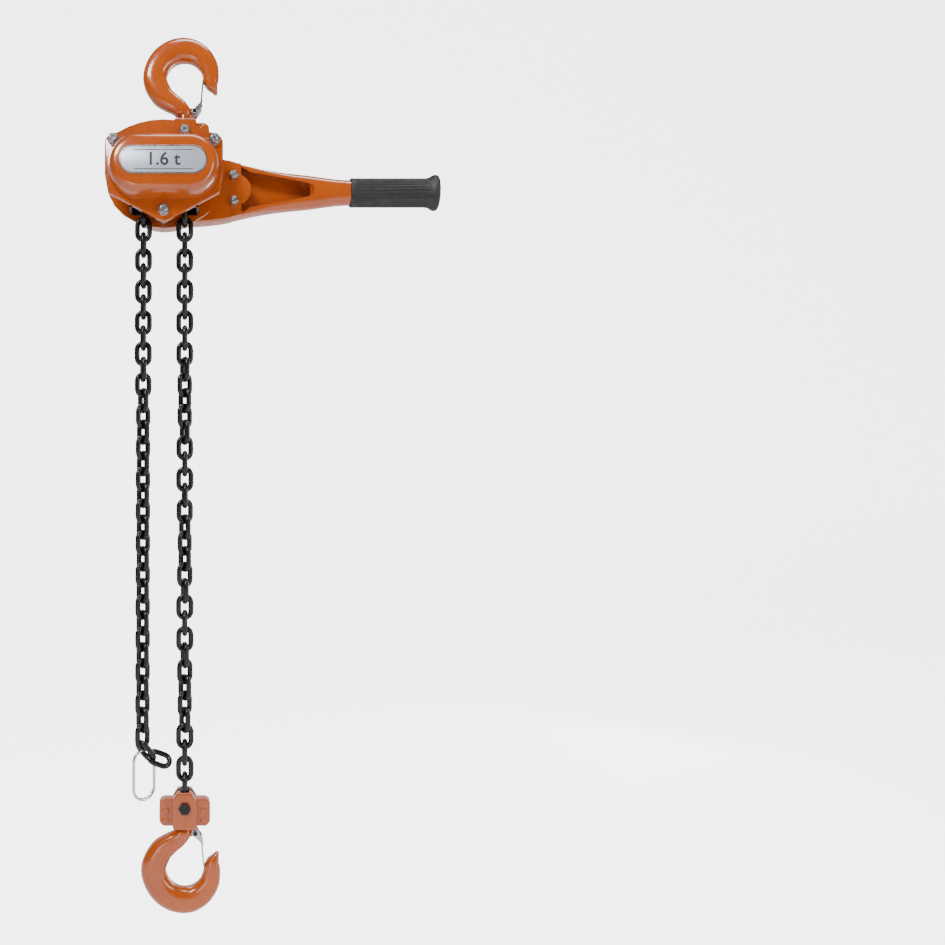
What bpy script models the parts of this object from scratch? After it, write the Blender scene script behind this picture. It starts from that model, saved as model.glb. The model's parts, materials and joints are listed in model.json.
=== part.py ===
"""Lever chain hoist, 1.6 t class, hanging from its top hook at rest.

Sizes are in millimetres and become metres where each mesh is made. The origin is the seat of the
top hook, where it bears on what it hangs from. The load line is the Z axis, the lever points along
+X, the gear cover faces -Y and the handwheel +Y. The chain is 7.1 x 21 mm.
"""

from math import atan2, cos, pi, radians, sin, sqrt

import bmesh
import bpy
from mathutils import Matrix, Vector

MM = 0.001
GAP = 0.3  # clearance between pieces that touch

# Driving sizes
BOWL_R = 24.0  # inside radius of both hooks
BOWL_TO_PIN = 80.7  # from the centre of a hook's bowl to the pin of its yoke
PIN_TO_AXIS = 51.0  # from the top pin down to the main axis
CHAIN_WIRE = 7.1
CHAIN_PITCH = 21.0
SHEAVE_PITCH_R = 27.5  # four pockets of a 21 mm chain
LOAD_LINKS = 37  # in the load fall, below the link that stays between the plates
TAIL_LINKS = 33  # hanging links of the slack fall
PLATE_IN = 16.0  # half of the space between the side plates
PLATE_OUT = 20.0
GRIP_START, GRIP_END = 262.0, 387.0  # along the lever, from the main axis
WHEEL_R = 40.0
MODULE = 2.0  # of every gear
PINION_TEETH, STAGE_TEETH, SMALL_TEETH, LOAD_TEETH = 8, 25, 11, 22

# Places that follow from them
TOP_BOWL = Vector((0, 0, -BOWL_R))
TOP_PIN = Vector((0, 0, -BOWL_R - BOWL_TO_PIN))
AXIS = Vector((-SHEAVE_PITCH_R - 0.2, 0, TOP_PIN.z - PIN_TO_AXIS))
LOAD_X = 0.0
TAIL_X = 2 * AXIS.x
FIRST_LINK_Z = AXIS.z - 74.0  # first link that hangs clear of the body
LAST_LINK_Z = FIRST_LINK_Z - (LOAD_LINKS - 1) * CHAIN_PITCH
CHAIN_PIN = Vector((0, 0, LAST_LINK_Z - 4.3))
BOTTOM_BOWL = CHAIN_PIN - Vector((0, 0, BOWL_TO_PIN))
STAGE_OFFSET = MODULE * (PINION_TEETH + STAGE_TEETH) / 2
SELECTOR_U = 58.0  # the selector's pivot, along the lever from the main axis
SELECTOR_REST = radians(-35.7)  # its arm at rest, from the lever's direction
STAYS = {"left": (-67.0, 39.0), "right": (67.0, 39.0), "bottom": (0.0, -56.0)}
COVER_BOLT_X = 54.5
TOP_DROP = 6.5  # the top yoke is lower than the bottom one, between the side plates
LATCH_PIVOT = (13.5, 46.7)  # from the centre of the bowl
LATCH_END = (23.0, 4.0)
RING_YAW = radians(30)  # the ring on the slack end, turned about the vertical

COLOURS = {
    "orange_paint": ((0.52, 0.10, 0.008), 0.32, 0.0),
    "zinc": ((0.62, 0.63, 0.66), 0.35, 1.0),
    "steel": ((0.42, 0.42, 0.44), 0.38, 1.0),
    "blackened_steel": ((0.012, 0.012, 0.013), 0.35, 0.6),
    "friction_lining": ((0.10, 0.075, 0.055), 0.85, 0.0),
    "black_plastic": ((0.012, 0.012, 0.014), 0.45, 0.0),
    "black_rubber": ((0.016, 0.016, 0.018), 0.6, 0.0),
    "label_silver": ((0.62, 0.65, 0.72), 0.35, 0.4),
    "nameplate_black": ((0.012, 0.012, 0.015), 0.4, 0.0),
    "chrome": ((0.75, 0.76, 0.78), 0.12, 1.0),
}


def clear_scene():
    for thing in list(bpy.data.objects):
        bpy.data.objects.remove(thing, do_unlink=True)


def material(name):
    found = bpy.data.materials.get(name)
    if found:
        return found
    colour, roughness, metallic = COLOURS[name]
    made = bpy.data.materials.new(name)
    made.use_nodes = True
    shader = made.node_tree.nodes["Principled BSDF"]
    shader.inputs["Base Color"].default_value = (*colour, 1)
    shader.inputs["Roughness"].default_value = roughness
    shader.inputs["Metallic"].default_value = metallic
    made.diffuse_color = (*colour, 1)
    return made


def make(name, points, faces):
    """A mesh object from points in millimetres."""
    mesh = bpy.data.meshes.new(name)
    mesh.from_pydata([tuple(Vector(p) * MM) for p in points], [], faces)
    mesh.validate()
    made = bpy.data.objects.new(name, mesh)
    bpy.context.collection.objects.link(made)
    return made


def lofted(name, sections, closed=False):
    """A solid through sections of equally many points. A closed one joins its last section to its
    first, and any other has flat ends. Faces are turned outward by the sign of the volume."""
    n = len(sections[0])
    points = [p for section in sections for p in section]
    faces = []
    rows = len(sections) if closed else len(sections) - 1
    for i in range(rows):
        a, b = i * n, (i + 1) % len(sections) * n
        for j in range(n):
            k = (j + 1) % n
            faces.append((a + j, a + k, b + k, b + j))
    if not closed:
        faces.append(tuple(reversed(range(n))))
        faces.append(tuple(range(len(points) - n, len(points))))
    return outward(make(name, points, faces))


def volume(mesh):
    mesh.calc_loop_triangles()
    total = 0.0
    for t in mesh.loop_triangles:
        a, b, c = (mesh.vertices[i].co for i in t.vertices)
        total += a.dot(b.cross(c))
    return total


def outward(made):
    if volume(made.data) < 0:
        made.data.flip_normals()
    return made


def placed(axis, a, b, along):
    """The point at (a, b) across an axis and at along on it."""
    return {"X": (along, a, b), "Y": (a, along, b), "Z": (a, b, along)}[axis]


def prism(name, outline, low, high, axis="Y"):
    """An outline in the two directions across an axis, extruded from low to high along it."""
    return lofted(name, [[placed(axis, a, b, t) for a, b in outline] for t in (low, high)])


def turned(name, profile, centre=(0, 0), axis="Y", segments=16):
    """A profile of (radius, distance along the axis) turned about it. A profile that touches the
    axis at both ends is a solid, and any other is a ring."""
    ring = profile[0][0] > 0 or profile[-1][0] > 0
    points, rows, faces = [], [], []
    for radius, along in profile:
        start = len(points)
        count = segments if radius > 0 else 1
        for j in range(count):
            t = 2 * pi * j / segments
            points.append(placed(axis, centre[0] + radius * cos(t), centre[1] + radius * sin(t), along))
        rows.append((start, count))
    pairs = list(zip(rows, rows[1:] + rows[:1])) if ring else list(zip(rows, rows[1:]))
    for (a, na), (b, nb) in pairs:
        for j in range(segments):
            k = (j + 1) % segments
            face = [a + j % na, a + k % na, b + k % nb, b + j % nb]
            faces.append(tuple(dict.fromkeys(face)))
    return outward(make(name, points, faces))


def disc(name, radius, low, high, centre=(0, 0), axis="Y", segments=16):
    return turned(name, [(0, low), (radius, low), (radius, high), (0, high)], centre, axis, segments)


def weld(mesh, within=0.002 * MM):
    """Merges the nearly equal points that a cut can leave."""
    shape = bmesh.new()
    shape.from_mesh(mesh)
    bmesh.ops.remove_doubles(shape, verts=shape.verts, dist=within)
    bmesh.ops.dissolve_degenerate(shape, edges=shape.edges, dist=within)
    shape.to_mesh(mesh)
    shape.free()
    return mesh


def boolean(target, tools, operation):
    """Joins the tools to the target, or cuts them from it, and removes them."""
    if operation == "DIFFERENCE" and len(tools) > 1:
        tools = [boolean(tools[0], tools[1:], "UNION")]
    for tool in tools:
        change = target.modifiers.new("change", "BOOLEAN")
        change.operation = operation
        change.solver = "EXACT"
        change.object = tool
        bpy.context.view_layer.update()
        evaluated = target.evaluated_get(bpy.context.evaluated_depsgraph_get())
        mesh = bpy.data.meshes.new_from_object(evaluated)
        target.modifiers.clear()
        target.data = weld(mesh)
        bpy.data.objects.remove(tool, do_unlink=True)
    return target


def joined(target, *tools):
    return boolean(target, tools, "UNION")


def cut(target, *tools):
    return boolean(target, tools, "DIFFERENCE")


def finish(made, name, slot, pivot=None):
    """Names a piece, gives it its material and moves its origin to its joint."""
    made.name = name
    made.data.name = name
    made.data.materials.clear()
    made.data.materials.append(material(slot))
    if pivot is not None:
        place = Vector(pivot) * MM
        made.data.transform(Matrix.Translation(-place))
        made.location = place
    made.data.shade_smooth()
    made.data.set_sharp_from_angle(angle=radians(35))
    return made


def arc(centre, radius, start, end, steps):
    """Points on an arc, in degrees."""
    points = []
    for k in range(steps + 1):
        t = radians(start + (end - start) * k / steps)
        points.append((centre[0] + radius * cos(t), centre[1] + radius * sin(t)))
    return points


def mirrored(half):
    """An outline whose half with a >= 0 is given from top to bottom."""
    other = [(-a, b) for a, b in reversed(half) if abs(a) > 1e-6]
    return half + other


def moved(outline, by):
    return [(a + by[0], b + by[1]) for a, b in outline]


def stadium(half_length, radius, steps=6):
    """A flat outline with two round ends."""
    flat = half_length - radius
    return arc((flat, 0), radius, -90, 90, steps) + arc((-flat, 0), radius, 90, 270, steps)


def hexagon(flats, centre=(0, 0)):
    return [p for p in arc(centre, flats / sqrt(3), 0, 300, 5)]


def capsule_path(a, b, radius, steps=5):
    """An outline around the line from a to b."""
    turn = atan2(b[1] - a[1], b[0] - a[0]) * 180 / pi
    return arc(b, radius, turn - 90, turn + 90, steps) + arc(a, radius, turn + 90, turn + 270, steps)


def gear_outline(teeth, centre, phase=0.0, tip=1.3, root=3.2):
    """Straight-sided teeth with enough backlash to turn freely."""
    pitch_r = teeth * MODULE / 2
    outer, inner = pitch_r + 0.75 * MODULE, pitch_r - 1.15 * MODULE
    points = []
    for k in range(teeth):
        middle = phase + 2 * pi * k / teeth
        for radius, off in ((inner, -root), (outer, -tip), (outer, tip), (inner, root)):
            t = middle + off / 2 / radius
            points.append((centre[0] + radius * cos(t), centre[1] + radius * sin(t)))
    return points


# Chain


def link(centre, long_axis, wide_axis, wire=CHAIN_WIRE + 0.4, inside=(9.2, 21.0), sides=4, steps=2):
    """One chain link: a wire bent round two half circles. Its wire is 0.4 mm over size so that
    linked links of one fall fuse into one body."""
    radius = (inside[0] + CHAIN_WIRE) / 2
    straight = (inside[1] + CHAIN_WIRE) / 2 - radius
    sections = []
    for end in (1, -1):
        for k in range(steps + 1):
            t = pi * k / steps
            out = wide_axis * (cos(t) * end) + long_axis * (sin(t) * end)
            middle = centre + long_axis * (straight * end) + out * radius
            side = long_axis.cross(wide_axis)
            ring = []
            for j in range(sides):
                s = 2 * pi * j / sides
                ring.append(middle + (out * cos(s) + side * sin(s)) * (wire / 2))
            sections.append(ring)
    return lofted("link", sections, closed=True)


def twist(index, amount, start, period):
    """How far a link has turned about the fall, in radians."""
    if period is None:
        return radians(amount) * min(1.0, max(0.0, (index - start) / 4))
    return radians(amount) * (1 - cos(2 * pi * (index - start) / period)) / 2


def hanging_link(x, z, index, turn):
    angle = turn + (radians(88.5) if index % 2 else 0)
    return link(Vector((x, 0, z)), Vector((0, 0, -1)), Vector((cos(angle), sin(angle), 0)))


def load_chain():
    """The load fall and the link above it, which is inside the body and only rises."""
    made = None
    for i in range(LOAD_LINKS):
        turn = twist(i, 42, 6.5, 9.2) if 6 < i < LOAD_LINKS - 5 else 0.0
        piece = hanging_link(LOAD_X, FIRST_LINK_Z - i * CHAIN_PITCH, i, turn)
        made = joined(made, piece) if made else piece
    top_z = FIRST_LINK_Z + CHAIN_PITCH - 1.4
    hinge = (LOAD_X, 0, top_z - (CHAIN_PITCH + CHAIN_WIRE) / 2)
    finish(made, "load_chain", "blackened_steel", hinge)
    finish(hanging_link(LOAD_X, top_z, 1, 0), "load_chain_top", "blackened_steel", (LOAD_X, 0, top_z))


def tail_chain():
    """The slack fall, its last two links, which lie to the side, and the links above it."""
    made = None
    for i in range(TAIL_LINKS):
        piece = hanging_link(TAIL_X, FIRST_LINK_Z - i * CHAIN_PITCH, i, twist(i, 42, 8, None))
        made = joined(made, piece) if made else piece
    wire_r = (CHAIN_PITCH + CHAIN_WIRE) / 2
    last_wire = Vector((TAIL_X, 0, FIRST_LINK_Z - (TAIL_LINKS - 1) * CHAIN_PITCH - wire_r))
    tilt = Matrix.Rotation(radians(-40), 3, "Y")
    down = tilt @ Vector((0, 0, -1))
    wide = tilt @ Vector((-sin(radians(42)), cos(radians(42)), 0))
    made = joined(made, link(last_wire + down * (wire_r - CHAIN_WIRE), down, wide))
    side_wire = last_wire + down * (2 * wire_r - 2 * CHAIN_WIRE)
    along = Vector((cos(radians(20)), 0, -sin(radians(20))))
    across = down.cross(wide)
    across = (across - along * across.dot(along)).normalized()
    made = joined(made, link(side_wire + along * wire_r, along, across))
    top_z = FIRST_LINK_Z + CHAIN_PITCH - 1.4
    hinge = (TAIL_X, 0, top_z - wire_r)
    finish(made, "tail_chain", "blackened_steel", hinge)
    top = joined(hanging_link(TAIL_X, top_z, 1, 0), hanging_link(TAIL_X, top_z + CHAIN_PITCH, 0, 0))
    finish(top, "tail_chain_top", "blackened_steel", (TAIL_X, 0, top_z))
    tail_ring(last_wire + Vector((2.0, 2.0, -4.5)))


def tail_ring(held_at):
    """The oval ring that keeps the slack end from running through."""
    radius, straight, wire_r = 15.0, 17.0, 2.0
    centre = held_at - Vector((0, 0, radius + straight))
    yaw = Matrix.Rotation(RING_YAW, 3, "Z")
    side = yaw @ Vector((0, 1, 0))
    sections = []
    for end in (1, -1):
        for k in range(7):
            t = pi * k / 6
            out = yaw @ Vector((cos(t) * end, 0, sin(t) * end))
            middle = centre + Vector((0, 0, straight * end)) + out * radius
            ring = []
            for j in range(6):
                s = 2 * pi * j / 6
                ring.append(middle + (out * cos(s) + side * sin(s)) * wire_r)
            sections.append(ring)
    finish(lofted("ring", sections, closed=True), "tail_ring", "chrome", held_at)


def chain_over_sheave():
    """The three links that ride over the sheave."""
    made = None
    for k, degrees in enumerate((45, 90, 135)):
        t = radians(degrees)
        centre = AXIS + Vector((cos(t), 0, sin(t))) * SHEAVE_PITCH_R
        along = Vector((-sin(t), 0, cos(t)))
        wide = Vector((0, 1, 0)) if k == 1 else Vector((cos(t), 0, sin(t)))
        piece = link(centre, along, wide)
        made = joined(made, piece) if made else piece
    finish(made, "chain_over_sheave", "blackened_steel")


# Hooks, latches and yokes


def smooth_path(points, steps):
    """Catmull-Rom through points of any number of values."""
    found = []
    for i in range(len(points) - 1):
        p = [points[max(0, min(len(points) - 1, i + k))] for k in (-1, 0, 1, 2)]
        for s in range(steps):
            t = s / steps
            row = []
            for a, b, c, d in zip(*p):
                row.append(0.5 * (2 * b + (c - a) * t + (2 * a - 5 * b + 4 * c - d) * t * t
                                  + (3 * b - a - 3 * c + d) * t ** 3))
            found.append(row)
    return found + [list(points[-1])]


def hook_rows():
    """The forging's middle line from the neck to the tip, as (x, z, half width, half depth), with
    the bowl's centre at 0, 0 and the neck towards +z."""
    rows = [(-0.8, 51.5, 8.0, 8.0), (-0.8, 49.2, 10.0, 10.0)]
    rows += [(-2.6, 45, 10.8, 10.8), (-9.5, 37.5, 11.6, 11)]
    rows += [(-20.5, 30.3, 13.3, 11.6), (-31.6, 20.6, 15.3, 12.2)]
    for degrees in (178, 203, 228, 253, 278, 303, 328, 350):
        thick = 34 - 12.6 * max(0.0, (degrees - 270) / 90) ** 1.2
        t = radians(degrees)
        radius = BOWL_R + thick / 2
        depth = 12.6 - 3.8 * max(0.0, (degrees - 270) / 90)
        rows.append((radius * cos(t), radius * sin(t), thick / 2, depth))
    rows += [(36.2, 6, 9.3, 8.2), (39.8, 13.6, 5.1, 6.6), (42.6, 20, 2.1, 3.3)]
    return smooth_path(rows, 1)


def hook(name, bowl, up, drop):
    """A forged hook with its shank. up is 1 where the neck is above the bowl, -1 below, and drop is
    how much deeper than 23 mm from the pin its collar lies in the yoke."""
    rows = hook_rows()
    sections = []
    for i, (x, z, wide, deep) in enumerate(rows):
        before, after = rows[max(0, i - 1)], rows[min(len(rows) - 1, i + 1)]
        along = Vector((after[0] - before[0], 0, after[1] - before[1])).normalized()
        across = Vector((-along.z, 0, along.x))
        ring = []
        for j in range(10):
            t = 2 * pi * j / 10
            p = Vector((x, 0, z)) + across * (wide * cos(t)) + Vector((0, deep * sin(t), 0))
            ring.append((bowl.x + p.x, bowl.y + p.y, bowl.z + up * p.z))
        sections.append(ring)
    made = lofted(name, sections)
    low, collar, top = 48.7, BOWL_TO_PIN - 23.0 + drop, BOWL_TO_PIN - 14.8 + drop
    profile = [(0, low), (8, low), (8, collar), (12, collar), (12, top), (0, top)]
    profile = [(r, bowl.z + up * h) for r, h in profile]
    shank = turned("shank", profile, (0, 0), "Z", 16)
    lug = prism("lug", [(2, 40.7), (16.3, 43.2), (17.5, 46.7), (16.3, 50.2), (2, 51.5)], -5.2, 5.2)
    lug.data.transform(Matrix.Scale(up, 4, (0, 0, 1)))
    lug.data.transform(Matrix.Translation(bowl * MM))
    outward(lug)
    joined(made, shank, lug)
    pivot = Vector((LATCH_PIVOT[0], 0, bowl.z + up * LATCH_PIVOT[1]))
    cut(made, disc("hole", 2.2, -9, 9, (pivot.x, pivot.z), segments=12))
    finish(made, name, "orange_paint", None if up < 0 else (0, 0, bowl.z + BOWL_TO_PIN))
    return pivot


def latch(name, bowl, up, pivot):
    """The pressed safety latch: a strip that closes the mouth, with two ears on its pivot."""
    tip = Vector((LATCH_END[0], 0, bowl.z + up * LATCH_END[1]))
    along = (tip - pivot).normalized()
    across = Vector((abs(along.z), 0, -along.x * (1 if along.z > 0 else -1)))
    if across.x < 0:
        across = -across
    start = pivot + along * 7 + across * 5.5
    strip_outline = []
    for s, h in ((start, 0), (tip, 0.6), (tip, 2.6), (start, 2.0)):
        p = s + across * h
        strip_outline.append((p.x, p.z))
    made = prism(name, strip_outline, -7.4, 7.4)
    for side in (1, -1):
        low, high = sorted((5.6 * side, 7.4 * side))
        near = start + across * 1.9
        far = pivot + along * 18 + across * 5.6
        ear_outline = arc((pivot.x, pivot.z), 4.6, 0, 330, 11)
        ear = prism("ear", ear_outline, low, high)
        web_points = [pivot - across * 4.4, pivot - along * 3 + across * 3, near, far + across * 1.6]
        web = prism("web", [(p.x, p.z) for p in web_points], low, high)
        joined(made, ear, web)
    cut(made, disc("hole", 2.2, -9, 9, (pivot.x, pivot.z), segments=12))
    finish(made, name, "zinc", pivot)
    pin = turned("pin", [(0, -9.2), (3.2, -9.2), (3.2, -7.7), (1.9, -7.7), (1.9, 7.7), (3.2, 7.7),
                         (3.2, 9.2), (0, 9.2)], (pivot.x, pivot.z), "Y", 12)
    finish(pin, name + "_pin", "blackened_steel", pivot)


def yoke(name, pin, hook_side, chain_side_boss, chain_side_wing, slot_for_chain, drop):
    """Two half shells round the hook's collar and the pin. hook_side is the sign of z towards the
    hook, and drop is how much lower than 28 mm they end there."""

    def at(points):
        return [(pin.x + a, pin.z + hook_side * h) for a, h in points]

    boss_depth, wing_depth = 15.0, 8.0
    for half, side in (("front", -1), ("back", 1)):
        low, high = sorted((0.15 * side, boss_depth * side))
        boss = [(-15.8, 25 - drop), (-13, 28 - drop), (13, 28 - drop), (15.8, 25 - drop)]
        boss += [(15.8, -chain_side_boss * 0.45)]
        boss += [(9, -chain_side_boss), (-9, -chain_side_boss), (-15.8, -chain_side_boss * 0.45)]
        made = prism(name, at(boss), low, high)
        low, high = sorted((0.15 * side, wing_depth * side))
        wing = [(-28, 25 - drop), (28, 25 - drop), (33, 20 - drop)]
        wing += [(33, -chain_side_wing + 4), (28, -chain_side_wing)]
        wing += [(-28, -chain_side_wing), (-33, -chain_side_wing + 4), (-33, 20 - drop)]
        joined(made, prism("wing", at(wing), low, high))
        rivet_rows = (17.5 - drop, 5.0 - drop)
        for a in (-24.5, 24.5):
            for h in rivet_rows:
                (spot,) = at([(a, h)])
                profile = [(0, 7 * side), (4.3, 7.9 * side), (2.6, 9.8 * side), (0, 9.8 * side)]
                joined(made, turned("rivet", profile, spot, "Y", 8))
        pin_r = 4.3 if slot_for_chain else 6.3
        tools = [disc("bore", pin_r, -20, 20, (pin.x, pin.z), segments=16)]
        ends = [(0, 31), (8.5, 31), (8.5, 23.3 - drop)]
        ends += [(12.4, 23.3 - drop), (12.4, 14.3 - drop), (0, 14.3 - drop)]
        profile = [(radius, pin.z + hook_side * h) for radius, h in ends]
        tools.append(turned("collar_room", profile, (0, 0), "Z", 16))
        if slot_for_chain:
            tools.append(prism("slot", at([(-13.9, 13.7), (13.9, 13.7), (13.9, -30), (-13.9, -30)]),
                               -4.4, 4.4))
            tools.append(prism("cross_slot", at([(-5.6, -6.0), (5.6, -6.0), (5.6, -30), (-5.6, -30)]),
                               -12.5, 12.5))
        cut(made, *tools)
        finish(made, f"{name}_{half}", "orange_paint", pin)


def top_pin():
    spot = (TOP_PIN.x, TOP_PIN.z)
    profile = [(0, PLATE_OUT + 3.2), (8, PLATE_OUT + 3.2), (8, PLATE_OUT + GAP), (6, PLATE_OUT + GAP)]
    profile += [(6, -PLATE_OUT - 1), (4.8, -PLATE_OUT - 1), (4.8, -29), (2.8, -29), (2.8, -26), (0, -26)]
    finish(turned("pin", profile, spot, "Y", 16), "top_pin", "steel", TOP_PIN)
    nut("top_pin_nut", spot, -28.2, -PLATE_OUT - 1.3, 13, 5.1)


def nut(name, spot, low, high, flats, bore, slot="zinc"):
    made = prism(name, hexagon(flats, spot), low, high)
    cut(made, disc("bore", bore, low - 1, high + 1, spot, segments=12))
    finish(made, name, slot, (spot[0], 0, spot[1]))


def chain_pin():
    spot = (CHAIN_PIN.x, CHAIN_PIN.z)
    made = disc("pin", 4.0, -17, 17, spot, segments=16)
    for low, high in ((-18.6, -15.3), (15.3, 18.6)):
        joined(made, prism("head", hexagon(13.8, spot), low, high))
    finish(made, "chain_pin", "blackened_steel", CHAIN_PIN)


# Body


def about_axis(a, b):
    return (AXIS.x + a, AXIS.z + b)


def plate_top():
    """Right half of the side plates' upper edge, from the middle to the lower right."""
    radius = 117.0
    half = []
    for a in (0, 16, 32, 47, 61):
        half.append((a, 68 - radius + sqrt(radius * radius - a * a)))
    half += arc((66.5, 36), 12, 60, 0, 3)
    return half


def side_plate(name, lower, side, holes):
    outline = moved(mirrored(plate_top() + lower), (AXIS.x, AXIS.z))
    low, high = sorted((PLATE_IN * side, PLATE_OUT * side))
    made = prism(name, outline, low, high)
    return cut(made, *[disc("hole", radius, -PLATE_OUT - 2, PLATE_OUT + 2, spot, segments=segments)
                       for radius, spot, segments in holes])


def plates():
    holes = [(20.3, about_axis(0, 0), 24), (6.3, (TOP_PIN.x, TOP_PIN.z), 12)]
    holes += [(5.4, about_axis(*spot), 12) for spot in STAYS.values()]
    gear_holes = [(6.0, about_axis(side * STAGE_OFFSET, 0), 12) for side in (1, -1)]
    lower = [(78.5, -5), (74, -31), (6, -68), (0, -70)]
    front = side_plate("front", lower, -1, holes + gear_holes)
    finish(front, "gear_side_plate", "orange_paint")
    lower = [(78.5 * cos(t), -5 - 61 * sin(t)) for t in (pi / 2 * k / 6 for k in range(7))]
    lower[-1] = (0, -66)
    bolt_holes = [(4.4, about_axis(side * COVER_BOLT_X, 0), 12) for side in (1, -1)]
    back = side_plate("back", lower, 1, holes + bolt_holes)
    slot = [about_axis(*p) for p in ((37.3, 42), (51.4, 19.3), (44, 19.5), (33, 38))]
    cut(back, prism("slot", slot, PLATE_IN - 2, PLATE_OUT + 2))
    for k in range(2):
        joined(back, disc("pawl_pin", 3, PLATE_OUT - 1, 40, about_axis(*pawl_pivot(k)), segments=12))
    finish(back, "brake_side_plate", "orange_paint")


def stays():
    for place, offset in STAYS.items():
        spot = about_axis(*offset)
        profile = [(0, 22.8), (6, 22.8), (6, PLATE_OUT + GAP), (5, PLATE_OUT + GAP), (5, 15.7)]
        profile += [(6, 15.7), (6, -15.7), (5, -15.7), (5, -31.5), (0, -31.5)]
        finish(turned("stay", profile, spot, "Y", 16), f"stay_bolt_{place}", "zinc")
        nut(f"stay_nut_{place}", spot, -29.6, -22.9, 13, 5.3)


def gear_cover():
    half = [(0, 42), (58, 42)] + arc((66.5, 36), 11.6, 20, 0, 1) + [(78, -5), (74, -31), (6, -68), (0, -70)]
    outline = moved(mirrored(half), (AXIS.x, AXIS.z))
    made = prism("cover", outline, -22.6, -PLATE_OUT - GAP)
    outer = ((-20.6, 73.5, 41), (-38, 72, 39.5), (-46, 69.5, 37), (-50.4, 65.5, 33), (-52, 60.5, 27.5))
    inner = ((-17, 71, 38.5), (-38, 69.3, 36.8), (-45, 67, 34.5), (-49.4, 62.5, 30))

    def sections(rows):
        return [[placed("Y", *about_axis(*p), y) for p in stadium(a, r)] for y, a, r in rows]

    joined(made, lofted("outer", sections(outer)))
    cut(made, lofted("inner", sections(inner)))
    for spot in STAYS.values():
        cut(made, disc("hole", 5.6, -24, -18, about_axis(*spot), segments=12))
    finish(made, "gear_cover", "orange_paint")
    label = prism("label", moved(stadium(56.5, 18.5), (AXIS.x, AXIS.z)), -53.2, -52.3)
    finish(label, "label_plate", "label_silver")


def brake_cover():
    """A deep cover with two ears for its bolts."""
    half = arc((0, 0), 45, 90, 60, 2) + [(41, 20)]
    half += arc((44, 0), 20, 75, 0, 4) + arc((0, 0), 64, -15, -90, 6)
    half[0] = (0, 45)
    half[-1] = (0, -64)

    def section(y, by):
        return [placed("Y", *about_axis(a * by, b * by), y) for a, b in mirrored(half)]

    rows = ((PLATE_OUT + GAP, 1.0), (40.5, 1.0), (44.5, 0.965), (46, 0.9))
    made = lofted("cover", [section(y, by) for y, by in rows])
    middle = about_axis(0, 0)
    sump = [(0, 0)] + arc((0, 0), 60.5, -145, -35, 6)
    cut(made, prism("sump", [about_axis(*p) for p in sump], 18, 38))
    cut(made, disc("room", 43, 18, 43.3, middle, segments=32), disc("mouth", 26, 40, 50, middle))
    cut(made, disc("stay_room", 6.6, 18, 24, about_axis(*STAYS["bottom"]), segments=12))
    for side in (1, -1):
        spot = about_axis(side * COVER_BOLT_X, 0)
        pocket = disc("pocket", 8.3, 26, 50, spot, segments=16)
        cut(made, pocket, disc("hole", 4.4, 18, 30, spot, segments=12))
    finish(made, "brake_cover", "orange_paint")
    for place, side in (("left", -1), ("right", 1)):
        spot = about_axis(side * COVER_BOLT_X, 0)
        bolt = prism("bolt", hexagon(11, spot), 26.3, 32.5)
        joined(bolt, disc("shank", 4.0, PLATE_IN + GAP, 27, spot, segments=12))
        finish(bolt, f"brake_cover_bolt_{place}", "zinc")


def sheave_group():
    middle = about_axis(0, 0)
    half = [(32, 15.4), (32, 12.3), (23.2, 12.3), (23.2, 4.4), (15.0, 4.4)]
    profile = [(7.6, 20), (15, 20), (15, 15.4)] + half + [(r, -y) for r, y in reversed(half)]
    profile += [(15, -15.4), (15, -20.3), (11.7, -20.3), (11.7, -31.2), (7.6, -31.2)]
    finish(turned("sheave", profile, middle), "load_sheave", "steel", AXIS)
    for name, low, high in (("front", -20, -15.8), ("back", 15.8, 20)):
        ring = [(15.4, low), (19.9, low), (19.9, high), (15.4, high)]
        finish(turned("bearing", ring, middle), f"sheave_bearing_{name}", "steel", AXIS)
    gear = prism("gear", gear_outline(LOAD_TEETH, middle), -31, -22.8)
    cut(gear, disc("bore", 12, -33, -20, middle))
    finish(gear, "load_gear", "steel", AXIS)


def stage_gears():
    for place, side in (("left", -1), ("right", 1)):
        spot = about_axis(side * STAGE_OFFSET, 0)
        facing = pi if side > 0 else 0.0
        big = prism("big", gear_outline(STAGE_TEETH, spot, facing + pi / STAGE_TEETH), -43, -35.2)
        small = gear_outline(SMALL_TEETH, spot, facing + pi / SMALL_TEETH)
        joined(big, prism("small", small, -35.5, -22.8))
        joined(big, disc("shaft", 5.6, -47.5, -16.4, spot, segments=12))
        finish(big, f"stage_gear_{place}", "steel", (spot[0], 0, spot[1]))


def chain_guide():
    """The pressed guide between the plates: a wall outside each fall, two cheeks that join them and
    the stripper finger that lifts the links out of the sheave."""

    def block(corners, low, high):
        return prism("block", [about_axis(*p) for p in corners], low, high)

    made = block([(-46, -49), (46, -49), (46, -37), (-46, -37)], -15.6, -13.2)
    joined(made, block([(-46, -49), (46, -49), (46, -37), (-46, -37)], 13.2, 15.6))
    for side in (1, -1):
        inner, outer = sorted((43.5 * side, 46 * side))
        joined(made, block([(inner, -49), (outer, -49), (outer, 8), (inner, 8)], -15.6, 15.6))
    joined(made, block([(-8, -46), (8, -46), (8, -38), (-8, -38)], -14, 14))
    joined(made, block([(-7, -40), (7, -40), (7, -34), (3, -19), (-3, -19), (-7, -34)], -3.6, 3.6))
    finish(made, "chain_guide", "blackened_steel")


def pawl_pivot(k):
    t = radians(70 + 180 * k)
    return 36.8 * cos(t), 36.8 * sin(t)


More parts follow.
